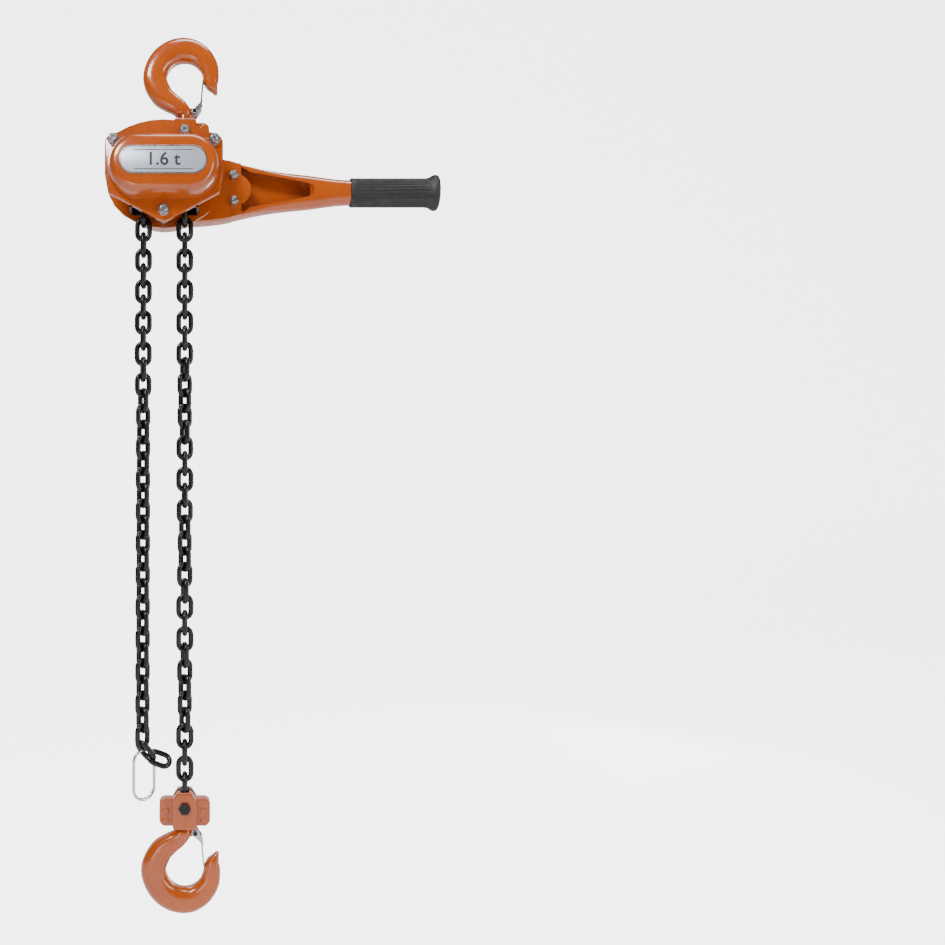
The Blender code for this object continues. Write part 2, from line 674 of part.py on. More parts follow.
def drive():
    middle = about_axis(0, 0)
    profile = [(0, -47.5), (5.4, -47.5), (5.4, -34), (7, -34), (7, 21.3), (27, 21.3), (27, 26.5)]
    profile += [(9, 26.5), (9, 66), (6.2, 66), (6.2, 111.5), (2.0, 111.5), (2.0, 108), (0, 108)]
    shaft = turned("shaft", profile, middle)
    joined(shaft, prism("pinion", gear_outline(PINION_TEETH, middle), -44, -33.4))
    finish(shaft, "drive_shaft", "steel", AXIS)
    for name, low, high in (("inner", 26.8, 29.0), ("outer", 34.8, 37.0)):
        ring = [(9.4, low), (27, low), (27, high), (9.4, high)]
        finish(turned("lining", ring, middle), f"friction_disc_{name}", "friction_lining", AXIS)
    teeth = []
    for k in range(15):
        t = 2 * pi * k / 15
        teeth += [about_axis(29.4 * cos(t), 29.4 * sin(t))]
        t += 2 * pi / 15 * 0.88
        teeth += [about_axis(25.6 * cos(t), 25.6 * sin(t))]
    ratchet = prism("ratchet", teeth, 29.3, 34.5)
    cut(ratchet, disc("bore", 9.4, 28, 36, middle))
    finish(ratchet, "ratchet_disc", "steel", AXIS)
    profile = [(9.4, 37.3), (27, 37.3), (27, 41.5), (18, 41.5), (18, 65.5), (9.4, 65.5)]
    change = turned("change", profile, middle)
    teeth = []
    for k in range(12):
        for radius, part in ((19, 0.0), (23.4, 0.3), (23.4, 0.6), (19, 0.9)):
            t = 2 * pi * (k + part) / 12
            teeth.append(about_axis(radius * cos(t), radius * sin(t)))
    crown = prism("crown", teeth, 50, 65.5)
    cut(crown, disc("bore", 14, 48, 68, middle))
    finish(joined(change, crown), "changeover_gear", "steel", AXIS)


def brake_pawls():
    """Two pawls that drop behind the ratchet disc's teeth."""
    for k, name in ((0, "upper"), (1, "lower")):
        a, b = pawl_pivot(k)
        start = atan2(b, a)
        nose = [(35.5, 28), (33.0, 35), (30.2, 33), (30.8, 22), (31.1, 10)]
        outline = arc((a, b), 5.4, start * 180 / pi + 195, start * 180 / pi + 395, 6)
        for radius, degrees in nose:
            t = start + radians(degrees)
            outline.append((radius * cos(t), radius * sin(t)))
        pawl = prism("pawl", moved(outline, (AXIS.x, AXIS.z)), 29.3, 34.5)
        spot = about_axis(a, b)
        cut(pawl, disc("hole", 3.3, 27, 37, spot, segments=12))
        finish(pawl, f"brake_pawl_{name}", "steel", (spot[0], 0, spot[1]))


def handwheel():
    """A scalloped rim with a dished middle."""
    middle = about_axis(0, 0)

    def rim(y, shrink):
        points = []
        for k in range(40):
            t = 2 * pi * k / 40
            radius = WHEEL_R - 1.6 + 1.6 * cos(10 * t) - shrink
            points.append(placed("Y", *about_axis(radius * cos(t), radius * sin(t)), y))
        return points

    rows = ((79, 5), (83, 0), (102, 0), (107.5, 4))
    made = lofted("wheel", [rim(y, s) for y, s in rows])
    dish = [(0, 110), (33, 110), (30, 97), (20, 90), (0, 90)]
    cut(made, turned("dish", dish, middle))
    hub = [(6.5, 66.5), (25, 66.5), (25, 80), (15, 93), (6.5, 93)]
    joined(made, turned("hub", hub, middle))
    cut(made, disc("bore", 6.5, 60, 100, middle, segments=16))
    finish(made, "handwheel", "black_plastic", AXIS)
    nut("handwheel_nut", middle, 93.3, 102.5, 20, 6.5)


# Lever


LEVER_HALF = [(-58, 0), (-57, 10), (-54, 19), (-49, 27), (-38, 35), (-20, 42.5), (0, 48), (25, 47.3),
              (63, 45), (90, 41), (99, 38), (133, 31), (165, 27), (200, 24), (230, 20), (252, 17.6)]


def lever_outline():
    """The pressed lever seen from the side, in the lever's own direction, as a closed outline."""
    return LEVER_HALF[1:] + [(a, -b) for a, b in reversed(LEVER_HALF)]


def lever():
    """The pressed lever: a deep pan, open towards the body, that closes into a neck for the grip."""
    low, high, wall = 49.0, 75.0, 3.0
    made = prism("lever", [about_axis(a, b) for a, b in lever_outline()], low, high)
    pan = [(u, w - wall) for u, w in LEVER_HALF if 0 < w and u < 170]
    pan[:3] = [(-54.2, 8), (-51.6, 17), (-46.8, 25)]
    room = pan + arc((186, 0), 19.5, 75, 0, 3)
    mouth = [p for p in pan if p[0] < 100] + [(114, 29.5), (120, 25), (150, 20), (185, 13.5)]
    mouth += arc((201, 0), 9.5, 75, 0, 3)
    hollows = (("room", room, low + wall, high - wall), ("mouth", mouth, low - 5, low + wall + 1))
    for name, half, near, far in hollows:
        outline = half + [(a, -b) for a, b in reversed(half[:-1])]
        cut(made, prism(name, [about_axis(a, b) for a, b in outline], near, far))
    middle = about_axis(0, 0)
    neck_middle = (62.0, AXIS.z)
    neck = []
    for u, wide, deep in ((236, 18, 12.8), (258, 16.8, 12.0), (372, 14, 9.5)):
        ring = []
        for j in range(16):
            t = 2 * pi * j / 16
            ring.append((AXIS.x + u, neck_middle[0] + deep * cos(t), neck_middle[1] + wide * sin(t)))
        neck.append(ring)
    joined(made, lofted("neck", neck))
    selector = about_axis(SELECTOR_U, 0)
    cut(made, disc("mouth", 27, 70, 80, middle), disc("hole", 6.2, 70, 80, selector, segments=16))
    for side in (1, -1):
        cut(made, disc("hole", 4.4, 70, 80, about_axis(-43.7, 19 * side), segments=12))
    finish(made, "lever_body", "orange_paint", AXIS)
    lever_plate()
    grip()


def lever_plate():
    """The flat plate that closes the pan over the mechanism."""
    middle = about_axis(0, 0)
    outline = [(u, w - 0.5) for u, w in LEVER_HALF if 0 < w and u < 95] + [(107, 35.6)]
    outline = outline + [(a, -b) for a, b in reversed(outline)]
    made = prism("plate", [about_axis(a, b) for a, b in outline], 46.4, 48.7)
    tongue = [(95, -22)] + arc((99, 0), 22, -80, 80, 8) + [(95, 22)]
    joined(made, prism("tongue", [about_axis(a, b) for a, b in tongue], 48, 54))
    selector = about_axis(SELECTOR_U, 0)
    cut(made, disc("mouth", 25.5, 44, 56, middle), disc("hole", 6.2, 44, 60, selector, segments=16))
    for side in (1, -1):
        cut(made, disc("hole", 4.4, 40, 60, about_axis(96.7, 18.4 * side), segments=12))
        cut(made, disc("hole", 4.4, 40, 60, about_axis(-43.7, 19 * side), segments=12))
    finish(made, "lever_inner_plate", "orange_paint", AXIS)
    for place, side in (("upper", 1), ("lower", -1)):
        spot = about_axis(-43.7, 19 * side)
        head = [(0, 80), (3.5, 79.6), (6.3, 77.6), (6.5, 75.3), (4, 75.3), (4, 46.6), (0, 46.6)]
        finish(turned("bolt", head, spot, "Y", 12), f"lever_head_bolt_{place}", "zinc")
        spot = about_axis(96.7, 18.4 * side)
        bolt = prism("nut", hexagon(11, spot), 39.5, 46.1)
        stud = [(0, 71.7), (4, 71.7), (4, 38), (2.2, 38), (2.2, 40), (0, 40)]
        joined(bolt, turned("stud", stud, spot, "Y", 12))
        finish(bolt, f"lever_nut_{place}", "zinc")


def grip():
    """The ribbed rubber grip on the lever's neck."""

    def ring(u, wide, deep, ribs):
        points = []
        for j in range(32):
            t = 2 * pi * j / 32
            lift = 1.0 if not ribs or j % 2 == 0 else 0.965
            points.append((AXIS.x + u, 62 + deep * lift * cos(t), AXIS.z + wide * lift * sin(t)))
        return points

    rows = [(GRIP_START, 19.5, 14.5, False), (GRIP_START + 2, 20.5, 15.5, False)]
    rows += [(GRIP_START + 9, 20.5, 15.5, True), (376, 20.5, 15.5, True), (380, 24, 19, False)]
    rows += [(383, 25.3, 20, False), (GRIP_END, 23.5, 18, False)]
    made = lofted("grip", [ring(*row) for row in rows])
    bore = []
    for u, wide, deep in ((255, 17.4, 12.6), (259, 17.4, 12.6), (373.5, 14.6, 10.1)):
        points = []
        for j in range(16):
            t = 2 * pi * j / 16
            points.append((AXIS.x + u, 62 + deep * cos(t), AXIS.z + wide * sin(t)))
        bore.append(points)
    cut(made, lofted("bore", bore))
    finish(made, "lever_grip", "black_rubber")


def pawl_nose(side):
    turns = [pi - side * radians(20 + off) - radians(7.15) for off in (8, 3, -2, -10)]
    return [(r * cos(t), r * sin(t)) for r, t in zip((24, 35.4, 35.4, 22), turns)]


def selector():
    spot = about_axis(SELECTOR_U, 0)
    knob = turned("knob", [(4.2, 75.5), (10.5, 75.5), (10.5, 86), (8.8, 87.5), (4.2, 87.5)], spot, "Y", 20)
    end = (spot[0] + 29.5 * cos(SELECTOR_REST), spot[1] + 29.5 * sin(SELECTOR_REST))
    near = (spot[0] + 11 * cos(SELECTOR_REST), spot[1] + 11 * sin(SELECTOR_REST))
    joined(knob, prism("arm", capsule_path(near, end, 6.4), 80.5, 90))
    cut(knob, disc("bore", 4.2, 70, 95, spot, segments=16))
    pivot = (spot[0], 0, spot[1])
    finish(knob, "selector_knob", "black_plastic", pivot)
    shaft = [(0, 87.9), (3.9, 87.9), (3.9, 56), (0, 56)]
    finish(turned("shaft", shaft, spot, "Y", 16), "selector_shaft", "zinc", pivot)
    outline = arc((0, 0), 9.5, -105, 105, 8) + pawl_nose(1) + [(-9.5, 0)] + pawl_nose(-1)[::-1]
    pawl = prism("pawl", moved(outline, spot), 56.5, 64.5)
    cut(pawl, disc("bore", 4.2, 50, 70, spot, segments=16))
    finish(pawl, "changeover_pawl", "steel", pivot)


def nameplate():
    corners = [(77.5, 30.7), (100, 30.7), (120.5, 19.8), (120.5, -19.8), (100, -30.7), (77.5, -30.7)]
    made = prism("plate", [about_axis(a, b) for a, b in corners], 75.3, 76.3)
    finish(made, "nameplate", "nameplate_black")


def build():
    clear_scene()
    pivot = hook("top_hook", TOP_BOWL, -1, TOP_DROP)
    latch("top_latch", TOP_BOWL, -1, pivot)
    yoke("top_yoke", TOP_PIN, 1, 10.5, 4.0, False, TOP_DROP)
    top_pin()
    plates()
    stays()
    gear_cover()
    brake_cover()
    sheave_group()
    stage_gears()
    chain_guide()
    drive()
    brake_pawls()
    handwheel()
    lever()
    selector()
    nameplate()
    chain_over_sheave()
    load_chain()
    tail_chain()
    yoke("bottom_yoke", CHAIN_PIN, -1, 19.5, 10.0, True, 0.0)
    chain_pin()
    pivot = hook("bottom_hook", BOTTOM_BOWL, 1, 0.0)
    latch("bottom_latch", BOTTOM_BOWL, 1, pivot)


build()
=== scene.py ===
import json
from math import atan2, cos, pi, radians, sin, sqrt

import bmesh
import bpy
from mathutils import Matrix, Vector


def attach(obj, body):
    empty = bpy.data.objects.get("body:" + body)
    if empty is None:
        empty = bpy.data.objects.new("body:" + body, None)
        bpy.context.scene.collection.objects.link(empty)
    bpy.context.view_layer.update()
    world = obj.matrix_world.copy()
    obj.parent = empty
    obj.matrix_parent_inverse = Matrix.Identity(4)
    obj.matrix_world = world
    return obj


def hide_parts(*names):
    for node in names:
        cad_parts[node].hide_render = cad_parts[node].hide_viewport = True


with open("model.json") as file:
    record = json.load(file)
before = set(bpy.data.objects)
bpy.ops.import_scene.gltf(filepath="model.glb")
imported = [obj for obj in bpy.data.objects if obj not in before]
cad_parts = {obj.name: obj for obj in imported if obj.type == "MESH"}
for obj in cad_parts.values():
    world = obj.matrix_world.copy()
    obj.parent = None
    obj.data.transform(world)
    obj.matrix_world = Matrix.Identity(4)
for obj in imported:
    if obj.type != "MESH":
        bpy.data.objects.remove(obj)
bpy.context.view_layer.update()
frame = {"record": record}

BODY_OF = {node: body for body, nodes in frame["record"]["behaviour"]["bodies"].items() for node in nodes}

MM = 0.001
GAP = 0.3  # clearance between pieces that touch

# Driving sizes
BOWL_R = 24.0  # inside radius of both hooks
BOWL_TO_PIN = 80.7  # from the centre of a hook's bowl to the pin of its yoke
PIN_TO_AXIS = 51.0  # from the top pin down to the main axis
CHAIN_WIRE = 7.1
CHAIN_PITCH = 21.0
SHEAVE_PITCH_R = 27.5  # four pockets of a 21 mm chain
LOAD_LINKS = 37  # in the load fall, below the link that stays between the plates
TAIL_LINKS = 33  # hanging links of the slack fall
PLATE_IN = 16.0  # half of the space between the side plates
PLATE_OUT = 20.0
GRIP_START, GRIP_END = 262.0, 387.0  # along the lever, from the main axis
WHEEL_R = 40.0
MODULE = 2.0  # of every gear
PINION_TEETH, STAGE_TEETH, SMALL_TEETH, LOAD_TEETH = 8, 25, 11, 22

# Places that follow from them
TOP_BOWL = Vector((0, 0, -BOWL_R))
TOP_PIN = Vector((0, 0, -BOWL_R - BOWL_TO_PIN))
AXIS = Vector((-SHEAVE_PITCH_R - 0.2, 0, TOP_PIN.z - PIN_TO_AXIS))
LOAD_X = 0.0
TAIL_X = 2 * AXIS.x
FIRST_LINK_Z = AXIS.z - 74.0  # first link that hangs clear of the body
LAST_LINK_Z = FIRST_LINK_Z - (LOAD_LINKS - 1) * CHAIN_PITCH
CHAIN_PIN = Vector((0, 0, LAST_LINK_Z - 4.3))
BOTTOM_BOWL = CHAIN_PIN - Vector((0, 0, BOWL_TO_PIN))
STAGE_OFFSET = MODULE * (PINION_TEETH + STAGE_TEETH) / 2
SELECTOR_U = 58.0  # the selector's pivot, along the lever from the main axis
SELECTOR_REST = radians(-35.7)  # its arm at rest, from the lever's direction
STAYS = {"left": (-67.0, 39.0), "right": (67.0, 39.0), "bottom": (0.0, -56.0)}
COVER_BOLT_X = 54.5
TOP_DROP = 6.5  # the top yoke is lower than the bottom one, between the side plates
LATCH_PIVOT = (13.5, 46.7)  # from the centre of the bowl
LATCH_END = (23.0, 4.0)
RING_YAW = radians(30)  # the ring on the slack end, turned about the vertical


class Nodes:
    """A material being built."""

    def __init__(self, name):
        self.made = bpy.data.materials.new(name)
        self.made.use_nodes = True
        self.tree = self.made.node_tree
        self.shader = self.tree.nodes["Principled BSDF"]
        coords = self.tree.nodes.new("ShaderNodeTexCoord")
        self.place = coords.outputs["Object"]

    def link(self, a, b):
        self.tree.links.new(a, b)

    def node(self, kind, output, **inputs):
        """The output of a new node, each of whose inputs is a constant or another node's output."""
        made = self.tree.nodes.new("ShaderNode" + kind)
        for name, value in inputs.items():
            socket = made.inputs[name.replace("_", " ")]
            if isinstance(value, bpy.types.NodeSocket):
                self.link(value, socket)
            else:
                socket.default_value = value
        return made.outputs[output]

    def set(self, **values):
        for name, value in values.items():
            self.shader.inputs[name.replace("_", " ")].default_value = value

    def stretched(self, scale):
        return self.node("Mapping", "Vector", Scale=scale, Vector=self.place)

    def noise(self, scale, detail=4.0, rough=0.55, where=None):
        where = where or self.place
        return self.node("TexNoise", "Fac", Scale=scale, Detail=detail, Roughness=rough, Vector=where)

    def ramp(self, value, low, high, a=0.0, b=1.0):
        return self.node("MapRange", "Result", Value=value, From_Min=low, From_Max=high, To_Min=a, To_Max=b)

    def mix(self, factor, a, b):
        node = self.tree.nodes.new("ShaderNodeMix")
        node.data_type = "RGBA"
        self.link(factor, node.inputs["Factor"])
        for socket, colour in ((node.inputs["A"], a), (node.inputs["B"], b)):
            if isinstance(colour, tuple):
                socket.default_value = (*colour, 1)
            else:
                self.link(colour, socket)
        return node.outputs["Result"]

    def times(self, a, b):
        node = self.tree.nodes.new("ShaderNodeMath")
        node.operation = "MULTIPLY"
        self.link(a, node.inputs[0])
        self.link(b, node.inputs[1])
        return node.outputs[0]

    def bump(self, height, strength, distance, **under):
        return self.node("Bump", "Normal", Height=height, Strength=strength, Distance=distance, **under)

    def worn_edges(self, low=0.52, high=0.60):
        edges = self.ramp(self.node("NewGeometry", "Pointiness"), low, high)
        return self.times(edges, self.ramp(self.noise(350), 0.45, 0.62))

    def done(self, colour=None, roughness=None, normal=None):
        for name, value in (("Base Color", colour), ("Roughness", roughness), ("Normal", normal)):
            if value:
                self.link(value, self.shader.inputs[name])
        return self.made


def orange_paint():
    n = Nodes("orange_paint")
    tint = n.mix(n.ramp(n.noise(14), 0.35, 0.65), (0.36, 0.058, 0.0008), (0.43, 0.072, 0.001))
    dusty = n.mix(n.ramp(n.noise(95, 8.0, 0.7), 0.60, 0.80, 0.0, 0.35), tint, (0.34, 0.075, 0.008))
    colour = n.mix(n.worn_edges(0.55, 0.64), dusty, (0.26, 0.032, 0.002))
    rough = n.ramp(n.noise(160, 6.0, 0.6), 0.35, 0.7, 0.16, 0.28)
    peel = n.bump(n.noise(520, 2.0), 0.10, 0.0006)
    n.set(Metallic=0.0, Coat_Weight=0.6, Coat_Roughness=0.06, Specular_IOR_Level=0.5)
    return n.done(colour, rough, n.bump(n.noise(60, 3.0), 0.05, 0.002, Normal=peel))


def metal(name, dark, light, rough, brushed=(1, 1, 1), grain=900, metallic=1.0, speck=(0.2, 0.19, 0.17)):
    n = Nodes(name)
    tint = n.mix(n.ramp(n.noise(45, 6.0, 0.6), 0.35, 0.65), dark, light)
    colour = n.mix(n.ramp(n.noise(300, 6.0, 0.65), 0.62, 0.80, 0.0, 0.6), tint, speck)
    roughness = n.ramp(n.noise(grain, 4.0, 0.6, n.stretched(brushed)), 0.3, 0.7, *rough)
    n.set(Metallic=metallic)
    return n.done(colour, roughness, n.bump(n.noise(grain, 3.0, 0.5, n.stretched(brushed)), 0.12, 0.0004))


def zinc():
    return metal("zinc", (0.40, 0.40, 0.42), (0.62, 0.63, 0.66), (0.16, 0.32), speck=(0.36, 0.34, 0.30))


def steel():
    return metal("steel", (0.30, 0.30, 0.31), (0.44, 0.44, 0.45), (0.30, 0.50), (1, 8, 1), 500)


def blackened_steel():
    return metal("blackened_steel", (0.003, 0.003, 0.0032), (0.010, 0.010, 0.011), (0.18, 0.36),
                 metallic=0.30, grain=700, speck=(0.035, 0.033, 0.03))


def chrome():
    return metal("chrome", (0.62, 0.63, 0.65), (0.76, 0.77, 0.79), (0.16, 0.30),
                 grain=500, speck=(0.40, 0.39, 0.37))


def friction_lining():
    n = Nodes("friction_lining")
    colour = n.mix(n.ramp(n.noise(1400, 5.0), 0.4, 0.6), (0.06, 0.045, 0.032), (0.15, 0.115, 0.085))
    return n.done(colour, n.ramp(n.noise(500), 0.3, 0.7, 0.75, 0.95), n.bump(n.noise(1400), 0.3, 0.0004))


def black_plastic():
    n = Nodes("black_plastic")
    colour = n.mix(n.ramp(n.noise(60, 6.0), 0.4, 0.7), (0.010, 0.010, 0.011), (0.022, 0.022, 0.024))
    rough = n.ramp(n.noise(220, 6.0), 0.3, 0.7, 0.34, 0.52)
    return n.done(colour, rough, n.bump(n.noise(1500, 2.0), 0.10, 0.0003))


def black_rubber():
    n = Nodes("black_rubber")
    bloom = n.ramp(n.noise(110, 8.0, 0.65, n.stretched((0.08, 1, 1))), 0.45, 0.75)
    colour = n.mix(bloom, (0.004, 0.004, 0.005), (0.028, 0.030, 0.035))
    rough = n.ramp(n.noise(150, 6.0), 0.3, 0.7, 0.48, 0.72)
    return n.done(colour, rough, n.bump(n.noise(900, 4.0), 0.18, 0.0005))


def label_silver():
    n = Nodes("label_silver")
    colour = n.mix(n.ramp(n.noise(25, 5.0), 0.35, 0.65), (0.50, 0.54, 0.62), (0.62, 0.66, 0.73))
    rough = n.ramp(n.noise(700, 3.0, 0.5, n.stretched((1, 1, 12))), 0.3, 0.7, 0.28, 0.42)
    n.set(Metallic=0.55)
    return n.done(colour, rough, n.bump(n.noise(900, 3.0, 0.5, n.stretched((1, 1, 12))), 0.06, 0.0002))


def nameplate_black():
    n = Nodes("nameplate_black")
    colour = n.mix(n.ramp(n.noise(60, 6.0), 0.4, 0.7), (0.010, 0.010, 0.012), (0.028, 0.028, 0.030))
    return n.done(colour, n.ramp(n.noise(300), 0.3, 0.7, 0.28, 0.42), n.bump(n.noise(700), 0.05, 0.0002))


def ink(name, dark, light):
    n = Nodes(name)
    colour = n.mix(n.ramp(n.noise(120, 6.0), 0.35, 0.7), dark, light)
    return n.done(colour, n.ramp(n.noise(400), 0.3, 0.7, 0.35, 0.5), n.bump(n.noise(900), 0.04, 0.0002))


def print_light():
    return ink("print_light", (0.55, 0.56, 0.58), (0.72, 0.73, 0.74))


def print_dark():
    return ink("print_dark", (0.010, 0.014, 0.040), (0.020, 0.026, 0.065))


MATERIALS = {build.__name__: build() for build in (
    orange_paint, zinc, steel, blackened_steel, chrome, friction_lining, black_plastic, black_rubber,
    label_silver, nameplate_black, print_light, print_dark)}


def make(name, points, faces):
    """A mesh object from points in millimetres."""
    mesh = bpy.data.meshes.new(name)
    mesh.from_pydata([tuple(Vector(p) * MM) for p in points], [], faces)
    mesh.validate()
    made = bpy.data.objects.new(name, mesh)
    bpy.context.collection.objects.link(made)
    return made


def lofted(name, sections, closed=False):
    """A solid through sections of equally many points. A closed one joins its last section to its
    first, and any other has flat ends. Faces are turned outward by the sign of the volume."""
    n = len(sections[0])
    points = [p for section in sections for p in section]
    faces = []
    rows = len(sections) if closed else len(sections) - 1
    for i in range(rows):
        a, b = i * n, (i + 1) % len(sections) * n
        for j in range(n):
            k = (j + 1) % n
            faces.append((a + j, a + k, b + k, b + j))
    if not closed:
        faces.append(tuple(reversed(range(n))))
        faces.append(tuple(range(len(points) - n, len(points))))
    return outward(make(name, points, faces))


def volume(mesh):
    mesh.calc_loop_triangles()
    total = 0.0
    for t in mesh.loop_triangles:
        a, b, c = (mesh.vertices[i].co for i in t.vertices)
        total += a.dot(b.cross(c))
    return total


def outward(made):
    if volume(made.data) < 0:
        made.data.flip_normals()
    return made


def placed(axis, a, b, along):
    """The point at (a, b) across an axis and at along on it."""
    return {"X": (along, a, b), "Y": (a, along, b), "Z": (a, b, along)}[axis]


def prism(name, outline, low, high, axis="Y"):
    """An outline in the two directions across an axis, extruded from low to high along it."""
    return lofted(name, [[placed(axis, a, b, t) for a, b in outline] for t in (low, high)])


def turned(name, profile, centre=(0, 0), axis="Y", segments=56):
    """A profile of (radius, distance along the axis) turned about it. A profile that touches the
    axis at both ends is a solid, and any other is a ring."""
    ring = profile[0][0] > 0 or profile[-1][0] > 0
    points, rows, faces = [], [], []
    for radius, along in profile:
        start = len(points)
        count = segments if radius > 0 else 1
        for j in range(count):
            t = 2 * pi * j / segments
            points.append(placed(axis, centre[0] + radius * cos(t), centre[1] + radius * sin(t), along))
        rows.append((start, count))
    pairs = list(zip(rows, rows[1:] + rows[:1])) if ring else list(zip(rows, rows[1:]))
    for (a, na), (b, nb) in pairs:
        for j in range(segments):
            k = (j + 1) % segments
            face = [a + j % na, a + k % na, b + k % nb, b + j % nb]
            faces.append(tuple(dict.fromkeys(face)))
    return outward(make(name, points, faces))


def pillow(name, outline, low, high, low_round, high_round, steps=6):
    """An outline extruded along Y with rounded edges. A rounding may be a function of the first
    coordinate."""
    n = len(outline)
    area = sum(a[0] * b[1] - b[0] * a[1] for a, b in zip(outline, outline[1:] + outline[:1]))
    turn = 1 if area > 0 else -1
    normals = []
    for i in range(n):
        a, b, c = Vector(outline[i - 1]), Vector(outline[i]), Vector(outline[(i + 1) % n])
        one = Vector((b.y - a.y, a.x - b.x)).normalized() * turn
        two = Vector((c.y - b.y, b.x - c.x)).normalized() * turn
        middle = (one + two).normalized()
        normals.append(middle / max(0.5, middle.dot(one)))
    levels = [(low, low_round, 1, k) for k in range(steps, -1, -1)]
    levels += [(high, high_round, -1, k) for k in range(steps + 1)]
    sections = []
    for end, rounding, side, k in levels:
        t = pi / 2 * k / steps
        section = []
        for spot, normal in zip(outline, normals):
            r = rounding(spot[0]) if callable(rounding) else rounding
            p = Vector(spot) - normal * (r * (1 - cos(t)))
            section.append((p.x, end + side * r * (1 - sin(t)), p.y))
        sections.append(section)
    return lofted(name, sections)


def disc(name, radius, low, high, centre=(0, 0), axis="Y", segments=56):
    return turned(name, [(0, low), (radius, low), (radius, high), (0, high)], centre, axis, segments)


def weld(mesh, within=0.002 * MM):
    """Merges the nearly equal points that a cut can leave."""
    shape = bmesh.new()
    shape.from_mesh(mesh)
    bmesh.ops.remove_doubles(shape, verts=shape.verts, dist=within)
    bmesh.ops.dissolve_degenerate(shape, edges=shape.edges, dist=within)
    shape.to_mesh(mesh)
    shape.free()
    return mesh


BEVELS = {
    "orange_paint": 0.7, "zinc": 0.45, "steel": 0.3, "blackened_steel": 0.3, "friction_lining": 0.3,
    "black_plastic": 0.6, "black_rubber": 0.3, "label_silver": 0.3, "nameplate_black": 0.2, "chrome": 0.0,
    "print_light": 0.0, "print_dark": 0.0,
}


def boolean(target, tools, operation):
    """Joins the tools to the target, or cuts them from it, and removes them."""
    if operation == "DIFFERENCE" and len(tools) > 1:
        tools = [boolean(tools[0], tools[1:], "UNION")]
    for tool in tools:
        change = target.modifiers.new("change", "BOOLEAN")
        change.operation = operation
        change.solver = "EXACT"
        change.object = tool
        bpy.context.view_layer.update()
        evaluated = target.evaluated_get(bpy.context.evaluated_depsgraph_get())
        mesh = bpy.data.meshes.new_from_object(evaluated)
        target.modifiers.clear()
        target.data = weld(mesh)
        bpy.data.objects.remove(tool, do_unlink=True)
    return target


def joined(target, *tools):
    return boolean(target, tools, "UNION")


def cut(target, *tools):
    return boolean(target, tools, "DIFFERENCE")


def merged(*pieces):
    """One mesh of several that only touch."""
    shape = bmesh.new()
    for piece in pieces:
        shape.from_mesh(piece.data)
    shape.to_mesh(pieces[0].data)
    shape.free()
    for piece in pieces[1:]:
        bpy.data.objects.remove(piece, do_unlink=True)
    return pieces[0]


def finish(made, name, slot, bevel=None, smooth=38):
    """Names a piece, gives it its material and soft edges, and sets it on its body. It stands for
    the CAD node of that name, if there is one."""
    made.name = name + "_look"
    made.data.name = made.name
    made.data.materials.clear()
    made.data.materials.append(MATERIALS[slot])
    made.data.shade_smooth()
    made.data.set_sharp_from_angle(angle=radians(smooth))
    width = BEVELS[slot] if bevel is None else bevel
    if width:
        soft = made.modifiers.new("edges", "BEVEL")
        soft.width = width * MM
        soft.segments = 3
        soft.limit_method = "ANGLE"
        soft.angle_limit = radians(40)
        soft.harden_normals = True
        soft.use_clamp_overlap = True
    if name in BODY_OF:
        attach(made, BODY_OF[name])
        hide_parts(name)
    return made


def detail(made, name, slot, body, bevel=0.0, smooth=38):
    """A piece with no CAD node of its own."""
    finish(made, name, slot, bevel, smooth)
    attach(made, body)
    return made


def arc(centre, radius, start, end, steps):
    """Points on an arc, in degrees."""
    steps = steps * 4
    points = []
    for k in range(steps + 1):
        t = radians(start + (end - start) * k / steps)
        points.append((centre[0] + radius * cos(t), centre[1] + radius * sin(t)))
    return points


def mirrored(half):
    """An outline whose half with a >= 0 is given from top to bottom."""
    other = [(-a, b) for a, b in reversed(half) if abs(a) > 1e-6]
    return half + other


def moved(outline, by):
    return [(a + by[0], b + by[1]) for a, b in outline]


def smooth_corners(outline, radius, steps=5):
    """The outline with its corners rounded."""
    found = []
    n = len(outline)
    for i in range(n):
        a, b, c = Vector(outline[i - 1]), Vector(outline[i]), Vector(outline[(i + 1) % n])
        reach = min(radius, (a - b).length * 0.45, (c - b).length * 0.45)
        start, end = b + (a - b).normalized() * reach, b + (c - b).normalized() * reach
        for k in range(steps + 1):
            t = k / steps
            found.append(tuple(start * (1 - t) ** 2 + b * 2 * t * (1 - t) + end * t * t))
    return found


def stadium(half_length, radius, steps=6):
    """A flat outline with two round ends."""
    flat = half_length - radius
    return arc((flat, 0), radius, -90, 90, steps) + arc((-flat, 0), radius, 90, 270, steps)


def hexagon(flats, centre=(0, 0)):
    radius = flats / sqrt(3)
    return [(centre[0] + radius * cos(pi / 3 * k), centre[1] + radius * sin(pi / 3 * k)) for k in range(6)]


def capsule_path(a, b, radius, steps=5):
    """An outline around the line from a to b."""
    turn = atan2(b[1] - a[1], b[0] - a[0]) * 180 / pi
    return arc(b, radius, turn - 90, turn + 90, steps) + arc(a, radius, turn + 90, turn + 270, steps)


def gear_outline(teeth, centre, phase=0.0, tip=1.3, root=3.2):
    """Straight-sided teeth with enough backlash to turn freely."""
    pitch_r = teeth * MODULE / 2
    outer, inner = pitch_r + 0.75 * MODULE, pitch_r - 1.15 * MODULE
    points = []
    for k in range(teeth):
        middle = phase + 2 * pi * k / teeth
        for radius, off in ((inner, -root), (outer, -tip), (outer, tip), (inner, root)):
            t = middle + off / 2 / radius
            points.append((centre[0] + radius * cos(t), centre[1] + radius * sin(t)))
    return points


